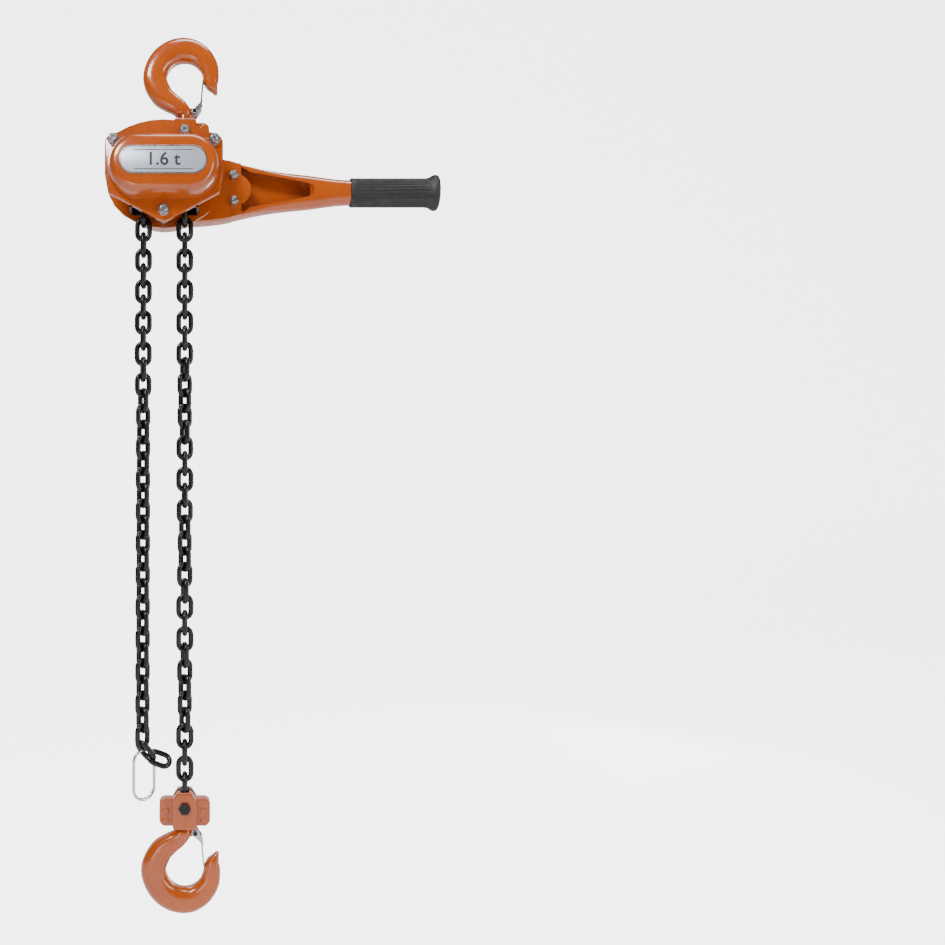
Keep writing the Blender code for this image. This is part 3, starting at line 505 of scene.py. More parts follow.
def link(centre, long_axis, wide_axis, wire=CHAIN_WIRE, inside=(9.2, 21.0), sides=16, steps=10):
    """One chain link: a wire bent round two half circles."""
    radius = (inside[0] + wire) / 2
    straight = (inside[1] + wire) / 2 - radius
    sections = []
    for end in (1, -1):
        for k in range(steps + 1):
            t = pi * k / steps
            out = wide_axis * (cos(t) * end) + long_axis * (sin(t) * end)
            middle = centre + long_axis * (straight * end) + out * radius
            side = long_axis.cross(wide_axis)
            ring = []
            for j in range(sides):
                s = 2 * pi * j / sides
                ring.append(middle + (out * cos(s) + side * sin(s)) * (wire / 2))
            sections.append(ring)
    return lofted("link", sections, closed=True)


def twist(index, amount, start, period):
    """How far a link has turned about the fall, in radians."""
    if period is None:
        return radians(amount) * min(1.0, max(0.0, (index - start) / 4))
    return radians(amount) * (1 - cos(2 * pi * (index - start) / period)) / 2


def hanging_link(x, z, index, turn):
    angle = turn + (radians(88.5) if index % 2 else 0)
    return link(Vector((x, 0, z)), Vector((0, 0, -1)), Vector((cos(angle), sin(angle), 0)))


def load_chain():
    """The load fall and the link above it."""
    links = []
    for i in range(LOAD_LINKS):
        turn = twist(i, 42, 6.5, 9.2) if 6 < i < LOAD_LINKS - 5 else 0.0
        links.append(hanging_link(LOAD_X, FIRST_LINK_Z - i * CHAIN_PITCH, i, turn))
    finish(merged(*links), "load_chain", "blackened_steel", bevel=0)
    top_z = FIRST_LINK_Z + CHAIN_PITCH - 1.4
    finish(hanging_link(LOAD_X, top_z, 1, 0), "load_chain_top", "blackened_steel", bevel=0)


def tail_chain():
    """The slack fall, its last two links, which lie to the side, and the links above it."""
    links = []
    for i in range(TAIL_LINKS):
        links.append(hanging_link(TAIL_X, FIRST_LINK_Z - i * CHAIN_PITCH, i, twist(i, 42, 8, None)))
    wire_r = (CHAIN_PITCH + CHAIN_WIRE) / 2
    last_wire = Vector((TAIL_X, 0, FIRST_LINK_Z - (TAIL_LINKS - 1) * CHAIN_PITCH - wire_r))
    tilt = Matrix.Rotation(radians(-40), 3, "Y")
    down = tilt @ Vector((0, 0, -1))
    wide = tilt @ Vector((-sin(radians(42)), cos(radians(42)), 0))
    links.append(link(last_wire + down * (wire_r - CHAIN_WIRE), down, wide))
    side_wire = last_wire + down * (2 * wire_r - 2 * CHAIN_WIRE)
    along = Vector((cos(radians(20)), 0, -sin(radians(20))))
    across = down.cross(wide)
    across = (across - along * across.dot(along)).normalized()
    links.append(link(side_wire + along * wire_r, along, across))
    finish(merged(*links), "tail_chain", "blackened_steel", bevel=0)
    top_z = FIRST_LINK_Z + CHAIN_PITCH - 1.4
    tops = merged(hanging_link(TAIL_X, top_z, 1, 0), hanging_link(TAIL_X, top_z + CHAIN_PITCH, 0, 0))
    finish(tops, "tail_chain_top", "blackened_steel", bevel=0)
    tail_ring(last_wire + Vector((2.0, 2.0, -4.5)))


def tail_ring(held_at):
    """The oval ring that keeps the slack end from running through."""
    wire, inside = 4.0, (26.0, 60.0)
    centre = held_at - Vector((0, 0, (inside[1] + wire) / 2))
    wide = Matrix.Rotation(RING_YAW, 3, "Z") @ Vector((1, 0, 0))
    ring = link(centre, Vector((0, 0, 1)), wide, wire, inside, sides=18, steps=24)
    finish(ring, "tail_ring", "chrome", bevel=0)


def chain_over_sheave():
    """The three links that ride over the sheave."""
    links = []
    for k, degrees in enumerate((45, 90, 135)):
        t = radians(degrees)
        centre = AXIS + Vector((cos(t), 0, sin(t))) * SHEAVE_PITCH_R
        along = Vector((-sin(t), 0, cos(t)))
        wide = Vector((0, 1, 0)) if k == 1 else Vector((cos(t), 0, sin(t)))
        links.append(link(centre, along, wide))
    finish(merged(*links), "chain_over_sheave", "blackened_steel", bevel=0)


def smooth_path(points, steps):
    """Catmull-Rom through points of any number of values."""
    found = []
    for i in range(len(points) - 1):
        p = [points[max(0, min(len(points) - 1, i + k))] for k in (-1, 0, 1, 2)]
        for s in range(steps):
            t = s / steps
            row = []
            for a, b, c, d in zip(*p):
                row.append(0.5 * (2 * b + (c - a) * t + (2 * a - 5 * b + 4 * c - d) * t * t
                                  + (3 * b - a - 3 * c + d) * t ** 3))
            found.append(row)
    return found + [list(points[-1])]


def hook_rows():
    """The forging's middle line from the neck to the tip, as (x, z, half width, half depth), with
    the bowl's centre at 0, 0 and the neck towards +z."""
    rows = [(-0.8, 51.5, 8.0, 8.0), (-0.8, 49.2, 10.0, 10.0), (-2.6, 45, 10.8, 10.8)]
    rows += [(-9.5, 37.5, 11.6, 11), (-20.5, 30.3, 13.3, 11.6), (-31.6, 20.6, 15.3, 12.2)]
    for degrees in (178, 203, 228, 253, 278, 303, 328, 350):
        thick = 32.8 - 11.4 * max(0.0, (degrees - 270) / 90) ** 1.2
        t = radians(degrees)
        radius = BOWL_R + thick / 2
        depth = 12.6 - 3.8 * max(0.0, (degrees - 270) / 90)
        rows.append((radius * cos(t), radius * sin(t), thick / 2, depth))
    rows += [(36.2, 6, 9.3, 8.2), (39.8, 13.6, 5.1, 6.6), (42.6, 20, 2.1, 3.3)]
    return smooth_path(rows, 6)


def hook(name, bowl, up, drop):
    """A forged hook with its shank. up is 1 where the neck is above the bowl, -1 below, and drop is
    how much deeper than 23 mm from the pin its collar lies in the yoke."""
    rows = hook_rows()
    sections = []
    for i, (x, z, wide, deep) in enumerate(rows):
        before, after = rows[max(0, i - 1)], rows[min(len(rows) - 1, i + 1)]
        along = Vector((after[0] - before[0], 0, after[1] - before[1])).normalized()
        across = Vector((-along.z, 0, along.x))
        ring = []
        for j in range(36):
            t = 2 * pi * j / 36
            a = abs(cos(t)) ** 0.8 * (1 if cos(t) > 0 else -1)
            b = abs(sin(t)) ** 0.8 * (1 if sin(t) > 0 else -1)
            p = Vector((x, 0, z)) + across * (wide * a) + Vector((0, deep * b, 0))
            ring.append((bowl.x + p.x, bowl.y + p.y, bowl.z + up * p.z))
        sections.append(ring)
    made = lofted(name, sections)
    low, collar, top = 48.7, BOWL_TO_PIN - 23.0 + drop, BOWL_TO_PIN - 14.8 + drop
    profile = [(0, low), (8, low), (8, collar), (12, collar), (12, top), (0, top)]
    profile = [(r, bowl.z + up * h) for r, h in profile]
    shank = turned("shank", profile, (0, 0), "Z")
    lug = prism("lug", [(2, 40.7), (16.3, 43.2), (17.5, 46.7), (16.3, 50.2), (2, 51.5)], -5.2, 5.2)
    lug.data.transform(Matrix.Scale(up, 4, (0, 0, 1)))
    lug.data.transform(Matrix.Translation(bowl * MM))
    outward(lug)
    joined(made, shank, lug)
    pivot = Vector((LATCH_PIVOT[0], 0, bowl.z + up * LATCH_PIVOT[1]))
    cut(made, disc("hole", 2.2, -9, 9, (pivot.x, pivot.z)))
    seat = pillow("seat", [(24.6, 4.5), (31, 3.5), (31, -7.5), (24.2, -6)], -6.2, 6.2, 1.2, 1.2)
    seat.data.transform(Matrix.Scale(up, 4, (0, 0, 1)))
    seat.data.transform(Matrix.Translation(bowl * MM))
    made = merged(made, outward(seat))
    finish(made, name, "orange_paint", bevel=0, smooth=50)
    return pivot


def latch(name, bowl, up, pivot):
    """The pressed safety latch: a strip that closes the mouth, with two ears on its pivot."""
    tip = Vector((LATCH_END[0], 0, bowl.z + up * LATCH_END[1]))
    along = (tip - pivot).normalized()
    across = Vector((abs(along.z), 0, -along.x * (1 if along.z > 0 else -1)))
    start = pivot + along * 7 + across * 5.5
    strip = [end + across * h for end, h in ((start, 0), (tip, 0.6), (tip, 2.6), (start, 2.0))]
    made = prism(name, [(p.x, p.z) for p in strip], -7.4, 7.4)
    for side in (1, -1):
        low, high = sorted((5.6 * side, 7.4 * side))
        near = start + across * 1.9
        far = pivot + along * 18 + across * 5.6
        ear = prism("ear", arc((pivot.x, pivot.z), 4.6, 0, 330, 11), low, high)
        web = [pivot - across * 4.4, pivot - along * 3 + across * 3, near, far + across * 1.6]
        joined(made, ear, prism("web", [(p.x, p.z) for p in web], low, high))
    cut(made, disc("hole", 2.2, -9, 9, (pivot.x, pivot.z)))
    finish(made, name, "zinc")
    half = [(1.9, 7.7), (3.2, 7.7), (3.2, 9.2), (0, 9.2)]
    pin = [(r, -y) for r, y in reversed(half)] + half
    finish(turned("pin", pin, (pivot.x, pivot.z)), name + "_pin", "blackened_steel")
    spring(name + "_spring", pivot, along, across, "hook_" + name.split("_")[0])


def spring(name, pivot, along, across, body):
    """The latch's torsion spring: three turns wound on its pin, just outside the ear on the -Y side."""
    route = []
    for k in range(73):
        t = 2 * pi * k / 24
        out = along * cos(t) + across * sin(t)
        route.append(pivot + out * 3.1 + Vector((0, -8.1 - 0.35 * k / 24, 0)))
    sections = []
    for k, middle in enumerate(route):
        ahead = (route[min(k + 1, 72)] - route[max(k - 1, 0)]).normalized()
        side = ahead.cross(Vector((0, 1, 0))).normalized()
        up = side.cross(ahead)
        sections.append([middle + (side * cos(pi * j / 4) + up * sin(pi * j / 4)) * 0.45 for j in range(8)])
    detail(lofted(name, sections), name, "steel", body)


def yoke(name, pin, hook_side, chain_side_boss, chain_side_wing, slot_for_chain, drop):
    """Two half shells round the hook's collar and the pin. hook_side is the sign of z towards the
    hook, and drop is how much lower than 28 mm they end there."""

    def at(points):
        return [(pin.x + a, pin.z + hook_side * h) for a, h in points]

    boss_depth, wing_depth = 15.0, 8.0
    for half, side in (("front", -1), ("back", 1)):
        low, high = sorted((0.15 * side, boss_depth * side))
        boss = [(-15.8, 25 - drop), (-13, 28 - drop), (13, 28 - drop), (15.8, 25 - drop)]
        boss += [(15.8, -chain_side_boss * 0.45), (9, -chain_side_boss), (-9, -chain_side_boss)]
        boss += [(-15.8, -chain_side_boss * 0.45)]
        made = pillow(name, at(smooth_corners(boss, 3)), low, high, *(2.4, 0.1)[::-side])
        low, high = sorted((0.15 * side, wing_depth * side))
        wing = [(-28, 25 - drop), (28, 25 - drop), (33, 20 - drop), (33, -chain_side_wing + 4)]
        wing += [(28, -chain_side_wing), (-28, -chain_side_wing)]
        wing += [(-33, -chain_side_wing + 4), (-33, 20 - drop)]
        joined(made, pillow("wing", at(smooth_corners(wing, 4)), low, high, *(2.0, 0.1)[::-side]))
        dome = ((0, 7), (4.2, 7.9), (4.0, 8.7), (3.2, 9.4), (1.8, 9.75), (0, 9.8))
        for a in (-24.5, 24.5):
            for h in (17.5 - drop, 5.0 - drop):
                (spot,) = at([(a, h)])
                joined(made, turned("rivet", [(radius, y * side) for radius, y in dome], spot))
        pin_r = 4.3 if slot_for_chain else 6.3
        tools = [disc("bore", pin_r, -20, 20, (pin.x, pin.z))]
        ends = [(0, 31), (8.5, 31), (8.5, 23.3 - drop)]
        ends += [(12.4, 23.3 - drop), (12.4, 14.3 - drop), (0, 14.3 - drop)]
        profile = [(radius, pin.z + hook_side * h) for radius, h in ends]
        tools.append(turned("collar_room", profile, (0, 0), "Z"))
        if slot_for_chain:
            for half_width, top, deep in ((13.9, 13.7, 4.4), (5.6, -6.0, 12.5)):
                slot = [(-half_width, top), (half_width, top), (half_width, -30), (-half_width, -30)]
                tools.append(prism("slot", at(slot), -deep, deep))
        cut(made, *tools)
        finish(made, f"{name}_{half}", "orange_paint")


def top_pin():
    spot = (TOP_PIN.x, TOP_PIN.z)
    profile = [(0, PLATE_OUT + 3.2), (8, PLATE_OUT + 3.2), (8, PLATE_OUT + GAP), (6, PLATE_OUT + GAP)]
    profile += [(6, -PLATE_OUT - 1), (4.8, -PLATE_OUT - 1), (4.8, -29), (2.8, -29), (2.8, -26), (0, -26)]
    finish(turned("pin", profile, spot), "top_pin", "steel")
    nut("top_pin_nut", spot, -28.2, -PLATE_OUT - 1.3, 13, 5.1)


def nut(name, spot, low, high, flats, bore):
    made = prism(name, hexagon(flats, spot), low, high)
    corner = flats / sqrt(3)
    outer = [(0, low), (flats * 0.49, low), (corner + 0.2, low + 1.3), (corner + 0.2, high - 1.0)]
    outer += [(flats * 0.5, high), (0, high)]
    boolean(made, [turned("cone", outer, spot)], "INTERSECT")
    cut(made, disc("bore", bore, low - 1, high + 1, spot))
    finish(made, name, "zinc", bevel=0.0, smooth=15)


def chain_pin():
    spot = (CHAIN_PIN.x, CHAIN_PIN.z)
    made = disc("pin", 4.0, -17, 17, spot)
    for low, high in ((-18.6, -15.3), (15.3, 18.6)):
        joined(made, prism("head", hexagon(13.8, spot), low, high))
    finish(made, "chain_pin", "blackened_steel")


def lettering(name, words, spot, size, y, slot, body, back=False, turn=0.0):
    """Raised figures on a face that looks along -Y, or along +Y if back."""
    curve = bpy.data.curves.new(name, "FONT")
    curve.body = words
    curve.size = size * MM
    curve.align_x, curve.align_y = "CENTER", "CENTER"
    curve.extrude = 0.08 * MM
    curve.offset = size * 0.014 * MM
    made = bpy.data.objects.new(name, curve)
    bpy.context.collection.objects.link(made)
    bpy.context.view_layer.update()
    mesh = bpy.data.meshes.new_from_object(made.evaluated_get(bpy.context.evaluated_depsgraph_get()))
    bpy.data.objects.remove(made, do_unlink=True)
    stand = Matrix.Rotation(pi, 4, "Z") if back else Matrix.Identity(4)
    place = Matrix.Translation(Vector((spot[0], y, spot[1])) * MM)
    mesh.transform(place @ Matrix.Rotation(radians(turn), 4, "Y") @ stand @ Matrix.Rotation(pi / 2, 4, "X"))
    made = bpy.data.objects.new(name, mesh)
    bpy.context.collection.objects.link(made)
    return detail(made, name, slot, body)


# Body


def about_axis(a, b):
    return (AXIS.x + a, AXIS.z + b)


def at_axis(outline):
    return [about_axis(*p) for p in outline]


def plate_top():
    """Right half of the side plates' upper edge, from the middle to the lower right."""
    radius = 117.0
    half = []
    for a in (0, 16, 32, 47, 61):
        half.append((a, 68 - radius + sqrt(radius * radius - a * a)))
    half += arc((66.5, 36), 12, 60, 0, 3)
    return half


def side_plate(name, lower, side, holes):
    outline = moved(mirrored(plate_top() + lower), (AXIS.x, AXIS.z))
    low, high = sorted((PLATE_IN * side, PLATE_OUT * side))
    made = prism(name, outline, low, high)
    return cut(made, *[disc("hole", radius, -PLATE_OUT - 2, PLATE_OUT + 2, spot)
                       for radius, spot in holes])


def plates():
    holes = [(20.3, about_axis(0, 0)), (6.3, (TOP_PIN.x, TOP_PIN.z))]
    holes += [(5.4, about_axis(*spot)) for spot in STAYS.values()]
    gear_holes = [(6.0, about_axis(side * STAGE_OFFSET, 0)) for side in (1, -1)]
    lower = [(78.5, -5), (74, -31), (6, -68), (0, -70)]
    front = side_plate("front", lower, -1, holes + gear_holes)
    finish(front, "gear_side_plate", "orange_paint")
    lower = [(78.5 * cos(t), -5 - 61 * sin(t)) for t in (pi / 2 * k / 6 for k in range(7))]
    lower[-1] = (0, -66)
    bolt_holes = [(4.4, about_axis(side * COVER_BOLT_X, 0)) for side in (1, -1)]
    back = side_plate("back", lower, 1, holes + bolt_holes)
    slot = [about_axis(*p) for p in ((37.3, 42), (51.4, 19.3), (44, 19.5), (33, 38))]
    cut(back, prism("slot", slot, PLATE_IN - 2, PLATE_OUT + 2))
    for k in range(2):
        joined(back, disc("pawl_pin", 3, PLATE_OUT - 1, 40, about_axis(*pawl_pivot(k))))
    finish(back, "brake_side_plate", "orange_paint")


def stays():
    for place, offset in STAYS.items():
        spot = about_axis(*offset)
        profile = [(0, 22.0), (1.6, 22.0), (1.8, 22.6), (5.4, 22.8), (6, 22.3), (6, PLATE_OUT + GAP)]
        profile += [(5, PLATE_OUT + GAP), (5, 15.7)]
        profile += [(6, 15.7), (6, -15.7), (5, -15.7), (5, -31.1), (4.6, -31.5), (2.8, -31.5)]
        profile += [(2.6, -30.2), (0, -30.2)]
        finish(turned("stay", profile, spot), f"stay_bolt_{place}", "zinc")
        nut(f"stay_nut_{place}", spot, -29.6, -22.9, 13, 5.3)


def gear_cover():
    half = [(0, 42), (58, 42)] + arc((66.5, 36), 11.6, 20, 0, 1) + [(78, -5), (74, -31), (6, -68), (0, -70)]
    outline = at_axis(mirrored(half))
    made = pillow("cover", smooth_corners(outline, 3), -22.6, -PLATE_OUT - GAP, 0.9, 0.2, 3)
    outer = ((-20.6, 73.5, 41), (-38, 72, 39.5), (-46, 69.5, 37), (-50.4, 65.5, 33), (-52, 60.5, 27.5))

    def sections(rows):
        return [[placed("Y", *about_axis(*p), y) for p in stadium(a, r)] for y, a, r in rows]

    made = merged(made, lofted("outer", sections(smooth_path(outer, 4))))
    for place, offset in STAYS.items():
        washer = [(5.3, -23.5), (7.4, -23.5), (7.4, -22.6), (5.3, -22.6)]
        detail(turned("washer", washer, about_axis(*offset)), f"stay_washer_{place}", "zinc", "frame", 0.15)
    finish(made, "gear_cover", "orange_paint", bevel=0)
    oval = at_axis(stadium(56.5, 18.5))
    label = pillow("label", oval, -52.9, -52.3, 0.3, 0.1, 3)
    rim = pillow("rim", oval, -53.2, -52.3, 0.3, 0.1, 3)
    cut(rim, prism("inside", at_axis(stadium(55.0, 17.0)), -54, -50))
    finish(label, "label_plate", "label_silver", bevel=0)
    detail(rim, "label_rim", "zinc", "frame")
    lettering("label_figures", "1.6 t", about_axis(0, 0), 24.0, -52.92, "print_dark", "frame")
    for k, b in enumerate((-13.0, 12.0)):
        stripe = prism("stripe", at_axis([(-38, b), (38, b), (38, b + 0.9), (-38, b + 0.9)]), -53.0, -52.8)
        detail(stripe, f"label_line_{k}", "print_dark", "frame")


def brake_cover():
    """A deep cover with two ears for its bolts."""
    half = arc((0, 0), 45, 90, 60, 2) + [(41, 20)]
    half += arc((44, 0), 20, 75, 0, 4) + arc((0, 0), 64, -15, -90, 6)
    half[0] = (0, 45)
    half[-1] = (0, -64)

    def section(y, by):
        return [placed("Y", *about_axis(a * by, b * by), y) for a, b in mirrored(half)]

    rows = ((PLATE_OUT + GAP, 1.0), (40.5, 1.0), (42.6, 0.994), (44.2, 0.977), (45.4, 0.95), (46, 0.91))
    made = lofted("cover", [section(y, by) for y, by in rows])
    middle = about_axis(0, 0)
    sump = [(0, 0)] + arc((0, 0), 60.5, -145, -35, 6)
    cut(made, prism("sump", at_axis(sump), 18, 38))
    cut(made, disc("room", 43, 18, 43.3, middle), disc("mouth", 26, 40, 50, middle))
    cut(made, disc("stay_room", 6.6, 18, 24, about_axis(*STAYS["bottom"])))
    for side in (1, -1):
        spot = about_axis(side * COVER_BOLT_X, 0)
        cut(made, disc("pocket", 8.3, 26, 50, spot), disc("hole", 4.4, 18, 30, spot))
    finish(made, "brake_cover", "orange_paint")
    for place, side in (("left", -1), ("right", 1)):
        spot = about_axis(side * COVER_BOLT_X, 0)
        bolt = prism("bolt", hexagon(11, spot), 26.3, 32.5)
        joined(bolt, disc("shank", 4.0, PLATE_IN + GAP, 27, spot))
        finish(bolt, f"brake_cover_bolt_{place}", "zinc")


def sheave_group():
    middle = about_axis(0, 0)
    half = [(32, 15.4), (32, 12.3), (23.2, 12.3), (23.2, 4.4), (15.0, 4.4)]
    profile = [(7.6, 20), (15, 20), (15, 15.4)] + half + [(r, -y) for r, y in reversed(half)]
    profile += [(15, -15.4), (15, -20.3), (11.7, -20.3), (11.7, -31.2), (7.6, -31.2)]
    finish(turned("sheave", profile, middle), "load_sheave", "steel")
    for name, low, high in (("front", -20, -15.8), ("back", 15.8, 20)):
        ring = [(15.4, low), (19.9, low), (19.9, high), (15.4, high)]
        finish(turned("bearing", ring, middle), f"sheave_bearing_{name}", "steel")
    gear = prism("gear", gear_outline(LOAD_TEETH, middle), -31, -22.8)
    cut(gear, disc("bore", 12, -33, -20, middle))
    finish(gear, "load_gear", "steel")


def stage_gears():
    for place, side in (("left", -1), ("right", 1)):
        spot = about_axis(side * STAGE_OFFSET, 0)
        facing = pi if side > 0 else 0.0
        big = prism("big", gear_outline(STAGE_TEETH, spot, facing + pi / STAGE_TEETH), -43, -35.2)
        small = gear_outline(SMALL_TEETH, spot, facing + pi / SMALL_TEETH)
        joined(big, prism("small", small, -35.5, -22.8))
        joined(big, disc("shaft", 5.6, -47.5, -16.4, spot))
        finish(big, f"stage_gear_{place}", "steel")


def chain_guide():
    """The pressed guide between the plates: a wall outside each fall, two cheeks that join them and
    the stripper finger that lifts the links out of the sheave."""

    def block(corners, low, high):
        return prism("block", at_axis(corners), low, high)

    made = block([(-46, -49), (46, -49), (46, -37), (-46, -37)], -15.6, -13.2)
    joined(made, block([(-46, -49), (46, -49), (46, -37), (-46, -37)], 13.2, 15.6))
    for side in (1, -1):
        inner, outer = sorted((43.5 * side, 46 * side))
        joined(made, block([(inner, -49), (outer, -49), (outer, 8), (inner, 8)], -15.6, 15.6))
    joined(made, block([(-8, -46), (8, -46), (8, -38), (-8, -38)], -14, 14))
    joined(made, block([(-7, -40), (7, -40), (7, -34), (3, -19), (-3, -19), (-7, -34)], -3.6, 3.6))
    finish(made, "chain_guide", "blackened_steel")


def pawl_pivot(k):
    t = radians(70 + 180 * k)
    return 36.8 * cos(t), 36.8 * sin(t)


def drive():
    middle = about_axis(0, 0)
    profile = [(0, -47.5), (5.4, -47.5), (5.4, -34), (7, -34), (7, 21.3), (27, 21.3), (27, 26.5)]
    profile += [(9, 26.5), (9, 66), (6.2, 66), (6.2, 110.7), (5.4, 111.5), (2.2, 111.5)]
    profile += [(2.0, 110.8), (2.0, 108), (0, 108)]
    shaft = turned("shaft", profile, middle)
    joined(shaft, prism("pinion", gear_outline(PINION_TEETH, middle), -44, -33.4))
    finish(shaft, "drive_shaft", "steel")
    for name, low, high in (("inner", 26.8, 29.0), ("outer", 34.8, 37.0)):
        ring = [(9.4, low), (27, low), (27, high), (9.4, high)]
        finish(turned("lining", ring, middle), f"friction_disc_{name}", "friction_lining")
    teeth = []
    for k in range(15):
        t = 2 * pi * k / 15
        teeth += [about_axis(29.4 * cos(t), 29.4 * sin(t))]
        t += 2 * pi / 15 * 0.88
        teeth += [about_axis(25.6 * cos(t), 25.6 * sin(t))]
    ratchet = prism("ratchet", teeth, 29.3, 34.5)
    cut(ratchet, disc("bore", 9.4, 28, 36, middle))
    finish(ratchet, "ratchet_disc", "steel")
    profile = [(9.4, 37.3), (27, 37.3), (27, 41.5), (18, 41.5), (18, 65.5), (9.4, 65.5)]
    change = turned("change", profile, middle)
    teeth = []
    for k in range(12):
        for radius, part in ((19, 0.0), (23.4, 0.3), (23.4, 0.6), (19, 0.9)):
            t = 2 * pi * (k + part) / 12
            teeth.append(about_axis(radius * cos(t), radius * sin(t)))
    crown = prism("crown", teeth, 50, 65.5)
    cut(crown, disc("bore", 14, 48, 68, middle))
    finish(joined(change, crown), "changeover_gear", "steel")


def brake_pawls():
    """Two pawls that drop behind the ratchet disc's teeth."""
    for k, name in ((0, "upper"), (1, "lower")):
        a, b = pawl_pivot(k)
        start = atan2(b, a)
        nose = [(35.5, 28), (33.0, 35), (30.2, 33), (30.8, 22), (31.1, 10)]
        outline = arc((a, b), 5.4, start * 180 / pi + 195, start * 180 / pi + 395, 6)
        for radius, degrees in nose:
            t = start + radians(degrees)
            outline.append((radius * cos(t), radius * sin(t)))
        pawl = prism("pawl", moved(outline, (AXIS.x, AXIS.z)), 29.3, 34.5)
        spot = about_axis(a, b)
        cut(pawl, disc("hole", 3.3, 27, 37, spot))
        finish(pawl, f"brake_pawl_{name}", "steel")


def handwheel():
    """A scalloped rim with a dished middle."""
    middle = about_axis(0, 0)

    def rim(y, shrink):
        points = []
        for k in range(200):
            t = 2 * pi * k / 200
            radius = WHEEL_R - 1.6 + 1.6 * cos(10 * t) - shrink
            points.append(placed("Y", *about_axis(radius * cos(t), radius * sin(t)), y))
        return points

    rows = [(79, 5), (79.4, 3), (80.4, 1.4), (82, 0.4), (84, 0)]
    rows += [(101, 0), (104, 0.5), (106.2, 1.7), (107.3, 3.4), (107.5, 5)]
    made = lofted("wheel", [rim(y, s) for y, s in rows])
    dish = [(0, 110), (33.5, 110), (33.2, 106), (32.4, 104.8), (31.6, 103), (30.4, 97.6)]
    dish += [(29, 95.4), (26, 94.4), (21.5, 93.6), (20, 92), (19.4, 90), (0, 90)]
    cut(made, turned("dish", dish, middle, segments=96))
    hub = [(6.5, 66.5), (25, 66.5), (25, 80), (15, 93), (6.5, 93)]
    joined(made, turned("hub", hub, middle))
    cut(made, disc("bore", 6.5, 60, 100, middle))
    finish(made, "handwheel", "black_plastic")
    nut("handwheel_nut", middle, 94.6, 102.5, 20, 6.5)
    washer = turned("washer", [(6.6, 93.2), (12.4, 93.2), (12.4, 94.4), (6.6, 94.4)], middle)
    detail(washer, "handwheel_washer", "zinc", "drive", 0.2)


# Lever


LEVER_HALF = [(-58, 0), (-57, 10), (-54, 19), (-49, 27), (-38, 35), (-20, 42.5), (0, 48), (25, 47.3),
              (63, 45), (90, 41), (99, 38), (133, 31), (165, 27), (200, 24), (230, 20), (252, 17.6),
              (292, 16.5)]


def lever_round(x, head, neck=12.0):
    """How round the lever's edges are: more towards the neck."""
    t = max(0.0, min(1.0, (x - AXIS.x - 95) / 110))
    return head + (neck - head) * t * t * (3 - 2 * t)


def lever():
    """The pressed lever: a deep pan, open towards the body, that closes into a neck for the grip."""
    low, high, wall = 49.0, 75.0, 3.0
    smooth = [tuple(p) for p in smooth_path(LEVER_HALF, 4)]
    shape = smooth[1:] + [(a, -b) for a, b in reversed(smooth)]
    shape = at_axis(shape)
    made = pillow("lever", shape, low, high, lambda x: lever_round(x, 1.2), lambda x: lever_round(x, 5.0))
    pan = [(u, w - wall) for u, w in LEVER_HALF if 0 < w and u < 170]
    pan[:3] = [(-54.2, 8), (-51.6, 17), (-46.8, 25)]
    room = pan + arc((186, 0), 19.5, 75, 0, 3)
    mouth = [p for p in pan if p[0] < 100] + [(114, 29.5), (120, 25), (150, 20), (185, 13.5)]
    mouth += arc((201, 0), 9.5, 75, 0, 3)
    hollows = (("room", room, low + wall, high - wall), ("mouth", mouth, low - 5, low + wall + 1))
    for name, half, near, far in hollows:
        outline = half + [(a, -b) for a, b in reversed(half[:-1])]
        cut(made, prism(name, at_axis(outline), near, far))
    middle = about_axis(0, 0)
    selector = about_axis(SELECTOR_U, 0)
    cut(made, disc("mouth", 27, 70, 80, middle), disc("hole", 6.2, 70, 80, selector))
    for side in (1, -1):
        cut(made, disc("hole", 4.4, 70, 80, about_axis(-43.7, 19 * side)))
    finish(made, "lever_body", "orange_paint", bevel=1.6)
    lever_plate()
    grip()


def lever_plate():
    """The flat plate that closes the pan over the mechanism."""
    middle = about_axis(0, 0)
    outline = [(u, w - 0.5) for u, w in LEVER_HALF if 0 < w and u < 95] + [(107, 35.6)]
    outline = outline + [(a, -b) for a, b in reversed(outline)]
    made = prism("plate", at_axis(outline), 46.4, 48.7)
    tongue = [(95, -22)] + arc((99, 0), 22, -80, 80, 8) + [(95, 22)]
    joined(made, prism("tongue", at_axis(tongue), 48, 54))
    cut(made, disc("mouth", 25.5, 44, 56, middle), disc("hole", 6.2, 44, 60, about_axis(SELECTOR_U, 0)))
    for side in (1, -1):
        cut(made, disc("hole", 4.4, 40, 60, about_axis(96.7, 18.4 * side)))
        cut(made, disc("hole", 4.4, 40, 60, about_axis(-43.7, 19 * side)))
    finish(made, "lever_inner_plate", "orange_paint")
    for place, side in (("upper", 1), ("lower", -1)):
        spot = about_axis(-43.7, 19 * side)
        head = [(0, 80), (2.2, 79.9), (3.9, 79.4), (5.3, 78.6), (6.1, 77.6), (6.4, 76.6), (6.5, 75.3)]
        head += [(4, 75.3), (4, 46.6), (0, 46.6)]
        finish(turned("bolt", head, spot), f"lever_head_bolt_{place}", "zinc")
        spot = about_axis(96.7, 18.4 * side)
        bolt = prism("nut", hexagon(11, spot), 39.5, 46.1)
        stud = [(0, 71.7), (4, 71.7), (4, 38), (2.2, 38), (2.2, 40), (0, 40)]
        joined(bolt, turned("stud", stud, spot))
        finish(bolt, f"lever_nut_{place}", "zinc")


